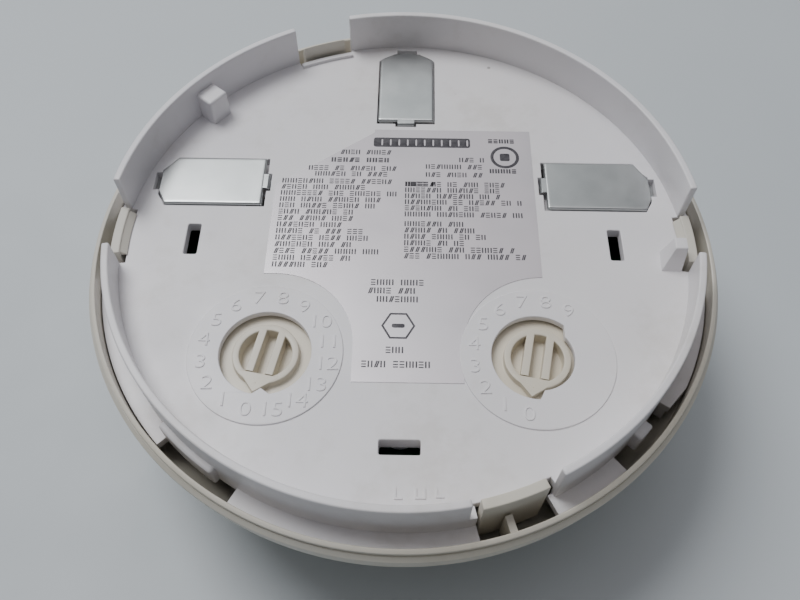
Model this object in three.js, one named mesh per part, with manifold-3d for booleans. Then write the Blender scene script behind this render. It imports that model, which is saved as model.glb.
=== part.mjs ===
// Plug-in smoke detector head, lying on its front face with its mounting side up.
// Millimetres, +Z up. The origin is the centre of the front face, on the surface it rests on.
// +Y points to the rear contact clip, and the two address dials are on the -Y side.

import * as THREE from 'three';
import { mergeVertices } from 'three/addons/utils/BufferGeometryUtils.js';
import Module from 'manifold-3d';

const wasm = await Module();
wasm.setup();

// ---- driving dimensions -------------------------------------------------------------

const RIM_SEGMENTS = 48;            // facets round the large round parts
const HOLE_SEGMENTS = 24;           // facets round holes and small round parts
const FIT_GAP = 0.3;                // clearance between neighbouring pieces

// heights above the surface that the front face rests on
const CAP_THICKNESS = 1.8;
const VENT_BOTTOM = 6.0;
const VENT_HEIGHT = 3.2;
const VENT_TIER_PITCH = 4.8;
const FLANGE_BOTTOM = 27.5;
const FLANGE_TOP = 29.1;
const RIM_TOP = 29.0;
const PLATE_UNDER = 30.6;
const PLATE_TOP = 32.6;
const LOW_WALL_TOP = PLATE_TOP + 5.6;
const TALL_WALL_TOP = PLATE_TOP + 7.4;
const LIP_TOP = PLATE_TOP + 0.6;
const BOARD_BOTTOM = 24.0;
const BOARD_TOP = 25.6;

// radii
const COVER_RADIUS = 51.0;
const FLANGE_RADIUS = 48.95;
const RIM_INNER_RADIUS = 49.15;
const WALL_INNER_RADIUS = 45.5;
const WALL_OUTER_RADIUS = 46.8;
const LUG_RADIUS = 47.9;
const TAB_GAP_RADIUS = 44.75;       // the plate's edge behind each release tab
const VENT_RADIUS = 36.0;
const BOARD_RADIUS = 41.0;
const CHAMBER_RADIUS = 27.0;

// openings round the wall and the flange, as [start, end] in degrees from +X
const VENT_COUNT = 24;
const VENT_SPAN = 12.2;
const REAR_TAB_GAP = [103.6, 116.4];
const LEFT_TAB_GAP = [173.4, 187.0];
const RIGHT_TAB_GAP = [-7.0, 6.6];
const FRONT_TAB_GAP = [-77.6, -62.6];
const LUG_OPENINGS = [[-135.2, -119.0], [-49.1, -34.7], [44.0, 59.0], [127.0, 142.0]];
const LUGS = [[-136.0, -122.8], [-45.2, -41.8], [45.0, 57.5], [128.0, 140.5]];

// release tabs of the cover: angle of the middle, angular width, height above the plate
const RELEASE_TABS = {
  release_tab_rear: [110.1, 9.8, 3.2],
  release_tab_left: [180, 11.4, 1.0],
  release_tab_right: [0, 11.4, 1.0],
  release_tab_front: [-70.6, 11.6, 3.8],
};
const TAB_INNER_RADIUS = 45.4;
const TAB_THICKNESS = 1.5;
const TAB_BOTTOM = 24.2;

// address dials: middle of each, and the direction that the pointer rests in (digit 0)
const DIAL_X = 20.28;
const DIAL_Y = -21.33;
const DIAL_HOLE_RADIUS = 6.9;
const DIAL_SMALL_RADIUS = 5.5;
const DIAL_ZERO_ANGLE = -101.25;
const KNOB_RIM_RADIUS = 5.0;
const KNOB_RIM_INNER = 3.9;
const KNOB_DISC_RADIUS = 7.8;
const KNOB_DISC_BOTTOM = 29.2;
const KNOB_DISC_TOP = 30.2;
const KNOB_TOP = PLATE_TOP - 0.2;
const KNOB_SHAFT_RADIUS = 2.0;
const WIPER_BOTTOM = 28.6;
const SWITCH_CASE_TOP = 28.3;
const SWITCH_CASE_SIZE = 14.5;

// contact clips: length, width, and where each inner end starts
const CLIP_LENGTH = 17.5;
const CLIP_WIDTH = 10.0;
const CLIP_THICKNESS = 0.7;
const CLIP_TOP = PLATE_TOP + 0.4;
const CLIP_MARGIN = 0.35;
const CLIP_INNER_HOOK = 0.8;
const CLIP_OUTER_HOOK = 1.2;
const SIDE_CLIP_START = 23.9;
const SIDE_CLIP_Y = 11.5;
const REAR_CLIP_START = 26.0;

// rating label
const LABEL_HALF_WIDTH = 22.0;
const LABEL_TOP = 23.9;
const LABEL_SHOULDER = -7.2;
const LABEL_BOTTOM = -25.9;
const LABEL_ARC_RADIUS = 12.7;

// board screws and bosses
const BOSS_PLACES = [[27, 27], [-27, 27], [0, -31]];
const BOSS_RADIUS = 2.6;

// ---- materials ----------------------------------------------------------------------

function finish(color, roughness, metalness = 0) {
  return new THREE.MeshStandardMaterial({ color, roughness, metalness });
}

const WHITE_PLASTIC = () => finish(0xe6e4e6, 0.45);
const IVORY_PLASTIC = () => finish(0xd9d2c4, 0.45);
const BLACK_PLASTIC = () => finish(0x17181a, 0.6);
const TINNED_STEEL = () => finish(0xb9bcbc, 0.3, 0.9);
const BRASS = () => finish(0xb8954a, 0.35, 0.9);
const BOARD_GREEN = () => finish(0x1f5a38, 0.5);
const LABEL_PAPER = () => finish(0xd2c9cd, 0.55);
const RED_RESIN = () => finish(0xb3231d, 0.2);
const CLEAR_RESIN = () => finish(0xc9c2b4, 0.15);
const ALUMINIUM = () => finish(0xa9abad, 0.35, 0.9);

// ---- solids -------------------------------------------------------------------------

// Merged vertices, no degenerate triangles, faces turned outward.
function closedGeometry(geometry) {
  const bare = geometry.clone();
  bare.deleteAttribute('normal');
  bare.deleteAttribute('uv');
  const merged = mergeVertices(bare, 1e-4);
  const position = merged.attributes.position;
  const source = merged.index.array;
  const triangles = [];
  for (let i = 0; i < source.length; i += 3) {
    const [a, b, c] = [source[i], source[i + 1], source[i + 2]];
    if (a !== b && b !== c && c !== a) triangles.push(a, b, c);
  }
  let volume = 0;
  const [p, q, r] = [new THREE.Vector3(), new THREE.Vector3(), new THREE.Vector3()];
  for (let i = 0; i < triangles.length; i += 3) {
    p.fromBufferAttribute(position, triangles[i]);
    q.fromBufferAttribute(position, triangles[i + 1]);
    r.fromBufferAttribute(position, triangles[i + 2]);
    volume += p.dot(q.cross(r));
  }
  if (volume < 0) {
    for (let i = 0; i < triangles.length; i += 3) {
      [triangles[i], triangles[i + 1]] = [triangles[i + 1], triangles[i]];
    }
  }
  merged.setIndex(triangles);
  return merged;
}

function toSolid(geometry) {
  const closed = closedGeometry(geometry);
  const vertProperties = Float32Array.from(closed.attributes.position.array);
  const triVerts = Uint32Array.from(closed.index.array);
  return new wasm.Manifold(new wasm.Mesh({ numProp: 3, vertProperties, triVerts }));
}

function toGeometry(solid) {
  const mesh = solid.getMesh();
  const geometry = new THREE.BufferGeometry();
  geometry.setAttribute('position', new THREE.BufferAttribute(mesh.vertProperties, 3));
  geometry.setIndex(new THREE.BufferAttribute(mesh.triVerts, 1));
  geometry.computeVertexNormals();
  return geometry;
}

// A profile of [radius, height] points turned about the Z axis.
function turned(profile, segments = RIM_SEGMENTS) {
  const points = profile.map(([radius, height]) => new THREE.Vector2(radius, height));
  return new THREE.LatheGeometry(points, segments).rotateX(Math.PI / 2);
}

function ring(innerRadius, outerRadius, bottom, top, segments = RIM_SEGMENTS) {
  return turned([
    [innerRadius, bottom], [outerRadius, bottom], [outerRadius, top], [innerRadius, top],
    [innerRadius, bottom],
  ], segments);
}

function disc(radius, bottom, top, segments = RIM_SEGMENTS) {
  return turned([[0, bottom], [radius, bottom], [radius, top], [0, top]], segments);
}

function rod(radius, bottom, top, x, y, segments = HOLE_SEGMENTS) {
  return disc(radius, bottom, top, segments).translate(x, y, 0);
}

// A flat shape lifted from one height to another.
function prism(shape, bottom, top, curveSegments = 16) {
  const options = { depth: top - bottom, bevelEnabled: false, curveSegments };
  return new THREE.ExtrudeGeometry(shape, options).translate(0, 0, bottom);
}

// Part of a ring between two angles in degrees.
function arcBlock(innerRadius, outerRadius, bottom, top, [start, end]) {
  const [from, to] = [THREE.MathUtils.degToRad(start), THREE.MathUtils.degToRad(end)];
  const shape = new THREE.Shape();
  shape.absarc(0, 0, outerRadius, from, to, false);
  shape.absarc(0, 0, innerRadius, to, from, true);
  shape.closePath();
  return prism(shape, bottom, top, Math.max(2, Math.ceil((end - start) / 7.5)));
}

function block(sizeX, sizeY, bottom, top, x = 0, y = 0) {
  return new THREE.BoxGeometry(sizeX, sizeY, top - bottom).translate(x, y, (bottom + top) / 2);
}

function atAngle(geometry, degrees) {
  return geometry.rotateZ(THREE.MathUtils.degToRad(degrees));
}

function joined(geometries) {
  return geometries.map(toSolid).reduce((sum, solid) => sum.add(solid));
}

function cutFrom(solid, geometries) {
  return geometries.map(toSolid).reduce((rest, tool) => rest.subtract(tool), solid);
}

function polygon(points) {
  return new THREE.Shape(points.map(([x, y]) => new THREE.Vector2(x, y)));
}

// ---- front cover --------------------------------------------------------------------

const LIGHT_PIPE_X = 41.5;
const LIGHT_PIPE_RADIUS = 1.5;

function coverShell() {
  const outside = [
    [RIM_INNER_RADIUS, RIM_TOP], [50.15, RIM_TOP], [50.15, 28.3], [49.95, 27.9],
    [50.85, 27.1], [COVER_RADIUS, 26.2], [50.7, 24.2], [49.3, 20.9],
    [46.8, 18.0], [43.0, 16.1], [37.2, 15.2], [36.9, 14.7],
    [36.9, 5.6], [37.5, 5.2], [37.2, 3.2], [35.0, 1.3], [31.6, 0.3], [28.0, 0],
  ];
  const inside = [
    [0, CAP_THICKNESS], [30.0, CAP_THICKNESS + 0.1], [35.1, 4.2],
    [35.1, 15.4], [36.0, 16.8], [42.4, 17.8], [45.6, 19.5], [47.6, 22.6],
    [48.3, 26.2], [48.3, FLANGE_BOTTOM - FIT_GAP], [RIM_INNER_RADIUS, FLANGE_BOTTOM - FIT_GAP],
  ];
  return turned([...outside, [0, 0], ...inside, outside[0]]);
}

function ventWindows() {
  const windows = [];
  for (const tier of [0, 1]) {
    const bottom = VENT_BOTTOM + tier * VENT_TIER_PITCH;
    for (let i = 0; i < VENT_COUNT; i += 1) {
      const middle = (i + 0.5) * (360 / VENT_COUNT);
      const span = [middle - VENT_SPAN / 2, middle + VENT_SPAN / 2];
      windows.push(arcBlock(VENT_RADIUS - 3, VENT_RADIUS + 3, bottom, bottom + VENT_HEIGHT, span));
    }
  }
  return windows;
}

// Three-cornered rib between the front tab and the rim.
function frontTabWeb() {
  const innerEnd = TAB_INNER_RADIUS + TAB_THICKNESS + FIT_GAP;
  const outerEnd = RIM_INNER_RADIUS + 0.3;
  const side = polygon([
    [innerEnd, TAB_BOTTOM], [outerEnd, TAB_BOTTOM], [outerEnd, RIM_TOP - 0.3],
    [innerEnd, PLATE_TOP - 0.6],
  ]);
  const web = prism(side, -0.55, 0.55).rotateX(Math.PI / 2);
  return atAngle(web, RELEASE_TABS.release_tab_front[0] - 1.2);
}

function cover() {
  const holeRadius = LIGHT_PIPE_RADIUS + FIT_GAP;
  const holes = [-1, 1].map((side) => rod(holeRadius, 12, 20, side * LIGHT_PIPE_X, 0, 16));
  const body = joined([coverShell(), frontTabWeb()]);
  return toGeometry(cutFrom(body, [...ventWindows(), ...holes]));
}

function releaseTab([middle, width, height]) {
  const outer = TAB_INNER_RADIUS + TAB_THICKNESS;
  const span = [middle - width / 2, middle + width / 2];
  return arcBlock(TAB_INNER_RADIUS, outer, TAB_BOTTOM, PLATE_TOP + height, span);
}

// ---- housing ------------------------------------------------------------------------

// The clip's flat outline, lying along +X from its inner end, grown by a margin all round.
function clipOutline(margin) {
  const half = CLIP_WIDTH / 2 + margin;
  const [start, end] = [-margin, CLIP_LENGTH + margin];
  const [hookIn, hookOut] = [start - CLIP_INNER_HOOK, end + CLIP_OUTER_HOOK];
  const hookHalf = 1.7 + margin;
  return polygon([
    [start, -half], [end - 1.6, -half], [end, -half + 2.2], [end, -hookHalf],
    [hookOut, -hookHalf], [hookOut, hookHalf], [end, hookHalf], [end, half - 2.2],
    [end - 1.6, half], [start, half], [start, hookHalf], [hookIn, hookHalf],
    [hookIn, -hookHalf], [start, -hookHalf],
  ]);
}

// Where each clip's inner end lies, and which way the clip points.
const CLIP_PLACES = {
  contact_clip_left: { x: -SIDE_CLIP_START, y: SIDE_CLIP_Y, turn: 180 },
  contact_clip_right: { x: SIDE_CLIP_START, y: SIDE_CLIP_Y, turn: 0 },
  contact_clip_rear: { x: 0, y: REAR_CLIP_START, turn: 90 },
};

function placeClip(geometry, { x, y, turn }) {
  return atAngle(geometry, turn).translate(x, y, 0);
}

function wallBlocks() {
  const tallSpans = [[RIGHT_TAB_GAP[1], REAR_TAB_GAP[0]], [REAR_TAB_GAP[1], LEFT_TAB_GAP[0]]];
  const tall = tallSpans.map((span) => (
    arcBlock(WALL_INNER_RADIUS, WALL_OUTER_RADIUS, LOW_WALL_TOP - 0.2, TALL_WALL_TOP, span)
  ));
  const low = ring(WALL_INNER_RADIUS, WALL_OUTER_RADIUS, FLANGE_BOTTOM, LOW_WALL_TOP);
  return [low, ...tall];
}

// Rounded lugs outside the wall that turn into the mounting base.
function lugBlocks() {
  return LUGS.map((span) => (
    arcBlock(WALL_OUTER_RADIUS - 0.2, LUG_RADIUS, FLANGE_BOTTOM + 0.5, PLATE_TOP, span)
  ));
}

// Low ridge on the plate in front of the rear tab.
function tabGapLip() {
  return arcBlock(TAB_GAP_RADIUS - 0.9, TAB_GAP_RADIUS, PLATE_TOP - 0.5, LIP_TOP, REAR_TAB_GAP);
}

// A key block on the wall, and a sloping gusset beside the right tab.
function wallKeys() {
  const key = atAngle(block(3.8, 4.0, PLATE_TOP - 0.5, PLATE_TOP + 5.0, 43.9, 0), 141.5);
  const slope = polygon([[0, 0], [4.2, 0], [4.2, 4.4], [1.9, 4.4]]);
  const gusset = prism(slope, 0, 4.2).rotateX(Math.PI / 2).translate(40.5, 2.1, PLATE_TOP - 0.2);
  return [key, atAngle(gusset, -5.6)];
}

function boardBosses() {
  return BOSS_PLACES.map(([x, y]) => rod(BOSS_RADIUS, BOARD_TOP + FIT_GAP, PLATE_UNDER + 0.3, x, y, 20));
}

// Full circle with a V-shaped stop between the last digit and 0.
function tensHole() {
  const shape = new THREE.Shape();
  const stop = THREE.MathUtils.degToRad(10.8);
  const down = -Math.PI / 2;
  shape.absarc(0, 0, DIAL_HOLE_RADIUS, down + stop, down - stop + 2 * Math.PI, false);
  shape.lineTo(0, -5.85);
  shape.closePath();
  return prism(shape, 20, 40, HOLE_SEGMENTS).translate(-DIAL_X, DIAL_Y, 0);
}

// Wide only over the ten digits; the step at each end stops the pointer.
function onesHole() {
  const shape = new THREE.Shape();
  const stopX = 4.3;
  const firstStop = THREE.MathUtils.degToRad(-90.8);
  const lastStop = Math.acos(stopX / DIAL_HOLE_RADIUS);
  const smallLast = Math.acos(stopX / DIAL_SMALL_RADIUS);
  const smallFirst = THREE.MathUtils.degToRad(-83.6);
  shape.absarc(0, 0, DIAL_HOLE_RADIUS, firstStop, lastStop, true);
  shape.absarc(0, 0, DIAL_SMALL_RADIUS, smallLast, smallFirst, true);
  shape.closePath();
  return prism(shape, 20, 40, 20).translate(DIAL_X, DIAL_Y, 0);
}

function plateOpenings() {
  const sideSlots = [-1, 1].map((side) => block(2.15, 6.0, 20, 40, side * 34.4, -0.6));
  const frontSlot = block(5.9, 2.2, 20, 40, 0, -35.8);
  const clipWindows = Object.values(CLIP_PLACES).map((place) => (
    placeClip(prism(clipOutline(CLIP_MARGIN), 20, 40), place)
  ));
  const pilotHoles = BOSS_PLACES.map(([x, y]) => rod(1.1, 20, 29.6, x, y, 16));
  return [...sideSlots, frontSlot, ...clipWindows, ...pilotHoles, tensHole(), onesHole()];
}

function rimOpenings() {
  const gaps = [REAR_TAB_GAP, LEFT_TAB_GAP, RIGHT_TAB_GAP, FRONT_TAB_GAP];
  const tabGaps = gaps.map((span) => arcBlock(TAB_GAP_RADIUS, 52, 20, 45, span));
  const lugGaps = LUG_OPENINGS.map((span) => (
    arcBlock(WALL_OUTER_RADIUS, 52, 20, FLANGE_TOP + 0.1, span)
  ));
  const relief = arcBlock(48.45, 52, 20, FLANGE_TOP + 0.1, [-35, -31]);
  return [...tabGaps, ...lugGaps, relief];
}

function housing() {
  const shell = joined([
    disc(46.0, PLATE_UNDER, PLATE_TOP),
    ring(45.6, FLANGE_RADIUS, FLANGE_BOTTOM, FLANGE_TOP),
    ...wallBlocks(),
    ...boardBosses(),
  ]);
  const opened = cutFrom(shell, rimOpenings());
  const withLugs = [...lugBlocks(), tabGapLip(), ...wallKeys()].map(toSolid)
    .reduce((sum, solid) => sum.add(solid), opened);
  return toGeometry(cutFrom(withLugs, plateOpenings()));
}

function ratingLabel() {
  const [left, right] = [-LABEL_HALF_WIDTH, LABEL_HALF_WIDTH];
  const leftArc = [-20.0, LABEL_SHOULDER - LABEL_ARC_RADIUS];
  const rightArc = [right, LABEL_SHOULDER - LABEL_ARC_RADIUS];
  const shape = new THREE.Shape();
  shape.moveTo(right, LABEL_TOP);
  shape.lineTo(-5.5, LABEL_TOP);
  shape.lineTo(-5.5, 23.2);
  shape.lineTo(left, 10.8);
  shape.lineTo(left, LABEL_SHOULDER);
  shape.absarc(leftArc[0], leftArc[1], LABEL_ARC_RADIUS, Math.PI / 2, 0, true);
  shape.lineTo(leftArc[0] + LABEL_ARC_RADIUS, LABEL_BOTTOM);
  shape.lineTo(rightArc[0] - LABEL_ARC_RADIUS, LABEL_BOTTOM);
  shape.absarc(rightArc[0], rightArc[1], LABEL_ARC_RADIUS, Math.PI, Math.PI / 2, true);
  shape.closePath();
  return prism(shape, PLATE_TOP + 0.05, PLATE_TOP + 0.17, 10);
}

// ---- contact clips ------------------------------------------------------------------

function contactClip(place) {
  const sheet = prism(clipOutline(0), CLIP_TOP - CLIP_THICKNESS, CLIP_TOP);
  const legY = CLIP_WIDTH / 2 - 1.4;
  const leg = block(CLIP_THICKNESS, 2.4, 27.2, CLIP_TOP - 0.1, CLIP_THICKNESS / 2, legY);
  const foot = block(2.6, 2.4, 27.2, 27.2 + CLIP_THICKNESS, 1.3, legY);
  return placeClip(toGeometry(joined([sheet, leg, foot])), place);
}

// ---- address dials ------------------------------------------------------------------

function dialKnob(x) {
  const knobDisc = rod(KNOB_DISC_RADIUS, KNOB_DISC_BOTTOM, KNOB_DISC_TOP, 0, 0);
  const rim = ring(KNOB_RIM_INNER, KNOB_RIM_RADIUS, KNOB_DISC_TOP - 0.2, KNOB_TOP, HOLE_SEGMENTS);
  const shaft = rod(KNOB_SHAFT_RADIUS, 26.4, KNOB_DISC_BOTTOM + 0.2, 0, 0, 20);
  const grips = [-1, 1].map((side) => (
    block(7.4, 1.3, KNOB_DISC_TOP - 0.2, KNOB_TOP + 0.1, 0, side * 1.52)
  ));
  const pointer = prism(polygon([[4.3, -2.1], [6.4, 0], [4.3, 2.1]]), KNOB_DISC_TOP - 0.2, KNOB_TOP + 0.1);
  const knob = toGeometry(joined([knobDisc, rim, shaft, ...grips, pointer]));
  return atAngle(knob, DIAL_ZERO_ANGLE).translate(x, DIAL_Y, 0);
}

// A brass spring ring with two contact arms, turned by the knob.
function dialWiper(x) {
  const hub = ring(KNOB_SHAFT_RADIUS + FIT_GAP, 3.6, WIPER_BOTTOM, WIPER_BOTTOM + 0.3, 24);
  const arms = [0, 180].map((turn) => (
    atAngle(block(3.2, 1.2, WIPER_BOTTOM, WIPER_BOTTOM + 0.3, 4.8, 0), turn)
  ));
  return toGeometry(joined([hub, ...arms])).translate(x, DIAL_Y, 0);
}

function switchCase(x) {
  const size = SWITCH_CASE_SIZE;
  const body = toSolid(block(size, size, BOARD_TOP + FIT_GAP, SWITCH_CASE_TOP));
  const bore = rod(KNOB_SHAFT_RADIUS + 0.35, 20, 30, 0, 0, 24);
  return toGeometry(cutFrom(body, [bore])).translate(x, DIAL_Y, 0);
}

// ---- circuit board and its parts ----------------------------------------------------

function circuitBoard() {
  const board = toSolid(disc(BOARD_RADIUS, BOARD_BOTTOM, BOARD_TOP));
  const screwHoles = BOSS_PLACES.map(([x, y]) => rod(1.3, 20, 30, x, y, 16));
  return toGeometry(cutFrom(board, screwHoles));
}

function boardScrew([x, y]) {
  const headTop = BOARD_BOTTOM - FIT_GAP;
  const head = turned([[0, 22.1], [1.2, 22.1], [2.0, 22.6], [2.0, headTop], [0, headTop]], 20);
  const shank = disc(0.8, headTop - 0.2, 29.0, 12);
  const slot = block(3.0, 0.5, 21.0, 22.7);
  return toGeometry(cutFrom(joined([head, shank]), [slot])).translate(x, y, 0);
}

function chip(sizeX, sizeY, height, x, y) {
  const bottom = BOARD_TOP + FIT_GAP;
  return block(sizeX, sizeY, bottom, bottom + height, x, y);
}

function cannedCapacitor(radius, length, x, y) {
  const can = turned([
    [0, 0], [radius * 0.8, 0], [radius, 0.4], [radius, 1.4], [radius - 0.3, 1.8], [radius, 2.2],
    [radius, length - 0.3], [radius - 0.3, length], [0, length],
  ], 16);
  return can.rotateY(Math.PI / 2).translate(x, y, BOARD_TOP + FIT_GAP + radius);
}

// Glass body lying between two wire ends.
function reedSwitch(x, y) {
  const profile = [[0, -9], [0.3, -9], [0.3, -6.8], [1.0, -6], [1.0, 6], [0.3, 6.8], [0.3, 9], [0, 9]];
  const glass = turned(profile, 12);
  return glass.rotateY(Math.PI / 2).translate(x, y, BOARD_TOP + 1.6);
}

function statusLed(side) {
  return block(3.0, 2.4, 22.8, BOARD_BOTTOM - FIT_GAP, side * (BOARD_RADIUS - 2.2), 0);
}

// A resin rod that brings the board's light out through the cover's shoulder.
function lightPipe(side) {
  const radius = LIGHT_PIPE_RADIUS;
  const pipe = turned([
    [0, 15.0], [radius * 0.6, 15.2], [radius, 15.8], [radius, 22.4], [0, 22.4],
  ], 16);
  return pipe.translate(side * LIGHT_PIPE_X, 0, 0);
}

// ---- sensing chamber ----------------------------------------------------------------

const CHAMBER_BASE_TOP = BOARD_BOTTOM - FIT_GAP;
const CHAMBER_BASE_BOTTOM = CHAMBER_BASE_TOP - 1.8;
const CHAMBER_SPLIT = 15.6;
const CHAMBER_CAP_BOTTOM = 3.4;
const EMITTER_ANGLE = 160;
const RECEIVER_ANGLE = 30;
const OPTICS_HEIGHT = 18.6;

function chamberBase() {
  const floor = disc(CHAMBER_RADIUS, CHAMBER_BASE_BOTTOM, CHAMBER_BASE_TOP, 48);
  const wall = ring(24.4, 26.0, CHAMBER_SPLIT + FIT_GAP, CHAMBER_BASE_BOTTOM + 0.2, 48);
  return toGeometry(joined([floor, wall]));
}

// A block with a bore for the emitter or the receiver, aimed at the middle of the chamber.
function opticsHolder(angle) {
  const top = CHAMBER_BASE_BOTTOM - FIT_GAP;
  const body = toSolid(block(9.0, 8.0, CHAMBER_SPLIT + FIT_GAP, top, 17.0, 0));
  const bore = turned([[0, -8], [2.75, -8], [2.75, 8], [0, 8]], 24)
    .rotateY(Math.PI / 2).translate(17.0, 0, OPTICS_HEIGHT);
  return atAngle(toGeometry(cutFrom(body, [bore])), angle);
}

function opticsLamp(angle) {
  const lamp = turned([
    [0, -4.2], [1.3, -3.9], [2.1, -3.0], [2.4, -1.6], [2.4, 3.0], [0, 3.0],
  ], 16);
  return atAngle(lamp.rotateY(Math.PI / 2).translate(17.0, 0, OPTICS_HEIGHT), angle);
}

// Thin metal hood over the receiver's holder.
function receiverShield() {
  const [halfWidth, thickness] = [4.3, 0.4];
  const [bottom, top] = [CHAMBER_SPLIT + FIT_GAP, CHAMBER_BASE_BOTTOM - FIT_GAP];
  const sides = [-1, 1].map((side) => (
    block(9.0, thickness, bottom, top, 17.0, side * (halfWidth + thickness / 2))
  ));
  const back = block(thickness, 2 * (halfWidth + thickness), bottom, top, 22.0, 0);
  const bridges = [-1, 1].map((side) => (
    block(0.8, thickness, bottom, top, 21.6, side * (halfWidth + thickness / 2))
  ));
  return atAngle(toGeometry(joined([...sides, ...bridges, back])), RECEIVER_ANGLE);
}

function chamberCap() {
  const plate = disc(26.0, CHAMBER_CAP_BOTTOM, CHAMBER_CAP_BOTTOM + 1.4, 48);
  const vanes = [];
  const vaneCount = 16;
  const bend = polygon([[18.5, 0], [22.0, 2.2], [25.2, 0.6], [25.2, -0.3], [22.0, 1.1], [19.0, -0.8]]);
  for (let i = 0; i < vaneCount; i += 1) {
    const vane = prism(bend, CHAMBER_CAP_BOTTOM + 1.2, CHAMBER_SPLIT - FIT_GAP);
    vanes.push(atAngle(vane, i * (360 / vaneCount)));
  }
  return toGeometry(joined([plate, ...vanes]));
}

function insectScreen() {
  return ring(26.3, 26.8, CHAMBER_CAP_BOTTOM, CHAMBER_SPLIT - FIT_GAP, 48);
}

// ---- assembly -----------------------------------------------------------------------

const detector = new THREE.Group();

function addPart(name, geometry, material) {
  const mesh = new THREE.Mesh(closedGeometry(geometry), material);
  mesh.geometry.computeVertexNormals();
  mesh.name = name;
  detector.add(mesh);
}

addPart('cover', cover(), IVORY_PLASTIC());
for (const [name, span] of Object.entries(RELEASE_TABS)) {
  addPart(name, releaseTab(span), IVORY_PLASTIC());
}
addPart('housing', housing(), WHITE_PLASTIC());
addPart('rating_label', ratingLabel(), LABEL_PAPER());
for (const [name, place] of Object.entries(CLIP_PLACES)) {
  addPart(name, contactClip(place), TINNED_STEEL());
}
for (const [name, x] of [['tens', -DIAL_X], ['ones', DIAL_X]]) {
  addPart(`${name}_dial`, dialKnob(x), IVORY_PLASTIC());
  addPart(`${name}_wiper`, dialWiper(x), BRASS());
  addPart(`${name}_switch_case`, switchCase(x), BLACK_PLASTIC());
}

addPart('circuit_board', circuitBoard(), BOARD_GREEN());
BOSS_PLACES.forEach((place, i) => addPart(`board_screw_${i + 1}`, boardScrew(place), TINNED_STEEL()));
addPart('microcontroller', chip(9.0, 9.0, 1.4, 0, 4), BLACK_PLASTIC());
addPart('bridge_rectifier', chip(6.0, 5.0, 2.4, 14, -2), BLACK_PLASTIC());
addPart('voltage_regulator', chip(6.4, 4.4, 2.2, -14, -2), BLACK_PLASTIC());
addPart('surge_suppressor', chip(5.0, 3.4, 2.2, 0, -14), BLACK_PLASTIC());
addPart('clock_crystal', chip(8.0, 3.2, 2.6, -2, 13), TINNED_STEEL());
addPart('filter_capacitor', cannedCapacitor(2.1, 8.0, -12, -34), ALUMINIUM());
addPart('storage_capacitor', cannedCapacitor(2.1, 8.0, 4, -26.5), ALUMINIUM());
addPart('reed_switch', reedSwitch(0, 19.5), CLEAR_RESIN());

for (const [name, side] of [['left', -1], ['right', 1]]) {
  addPart(`status_led_${name}`, statusLed(side), RED_RESIN());
  addPart(`light_pipe_${name}`, lightPipe(side), RED_RESIN());
}

addPart('chamber_base', chamberBase(), BLACK_PLASTIC());
addPart('emitter_holder', opticsHolder(EMITTER_ANGLE), BLACK_PLASTIC());
addPart('infrared_emitter', opticsLamp(EMITTER_ANGLE), CLEAR_RESIN());
addPart('receiver_holder', opticsHolder(RECEIVER_ANGLE), BLACK_PLASTIC());
addPart('photodiode', opticsLamp(RECEIVER_ANGLE), CLEAR_RESIN());
addPart('receiver_shield', receiverShield(), TINNED_STEEL());
addPart('chamber_cap', chamberCap(), BLACK_PLASTIC());
addPart('insect_screen', insectScreen(), TINNED_STEEL());

export default detector;
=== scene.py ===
"""Plug-in smoke detector head, lying on its front cover with the mounting side up.

Shapes are worked out in millimetres and become metres as each piece is finished.
Heights are above the bench, +Y points to the rear contact clip.
"""

import math

import bmesh
import bpy
import numpy as np
from mathutils import Matrix, Vector


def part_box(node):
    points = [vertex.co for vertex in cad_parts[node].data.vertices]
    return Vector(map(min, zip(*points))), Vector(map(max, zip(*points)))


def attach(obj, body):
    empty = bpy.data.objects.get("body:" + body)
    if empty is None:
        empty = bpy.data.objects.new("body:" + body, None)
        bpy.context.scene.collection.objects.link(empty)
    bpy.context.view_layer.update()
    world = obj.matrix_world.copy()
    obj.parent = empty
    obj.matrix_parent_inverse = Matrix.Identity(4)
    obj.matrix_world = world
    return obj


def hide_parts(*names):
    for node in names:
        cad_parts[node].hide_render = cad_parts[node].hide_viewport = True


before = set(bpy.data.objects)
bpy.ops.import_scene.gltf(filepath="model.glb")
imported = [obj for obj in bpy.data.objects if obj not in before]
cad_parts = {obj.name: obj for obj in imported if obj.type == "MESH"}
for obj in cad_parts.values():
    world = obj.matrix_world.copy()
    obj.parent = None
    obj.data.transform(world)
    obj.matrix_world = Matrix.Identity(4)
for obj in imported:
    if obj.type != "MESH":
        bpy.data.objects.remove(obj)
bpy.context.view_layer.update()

MM = 0.001

# ---- driving dimensions: box heights are read from the CAD, the rest is close to it ----

COVER_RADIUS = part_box("cover")[1].x / MM
TALL_WALL_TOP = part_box("housing")[1].z / MM
PLATE_TOP = TALL_WALL_TOP - 7.4
PLATE_UNDER = PLATE_TOP - 2.0
LOW_WALL_TOP = PLATE_TOP + 5.6
FLANGE_TOP = PLATE_TOP - 3.5
FLANGE_BOTTOM = FLANGE_TOP - 1.6
RIM_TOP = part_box("cover")[1].z / MM
BOARD_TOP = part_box("circuit_board")[1].z / MM
BOARD_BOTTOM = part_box("circuit_board")[0].z / MM
BOARD_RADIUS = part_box("circuit_board")[1].x / MM

WALL_INNER = 45.6
WALL_OUTER = 46.75
FLANGE_RADIUS = 49.3
RIM_INNER = 49.5
TAB_GAP_RADIUS = 44.75
PLATE_RADIUS = 46.1

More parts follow.
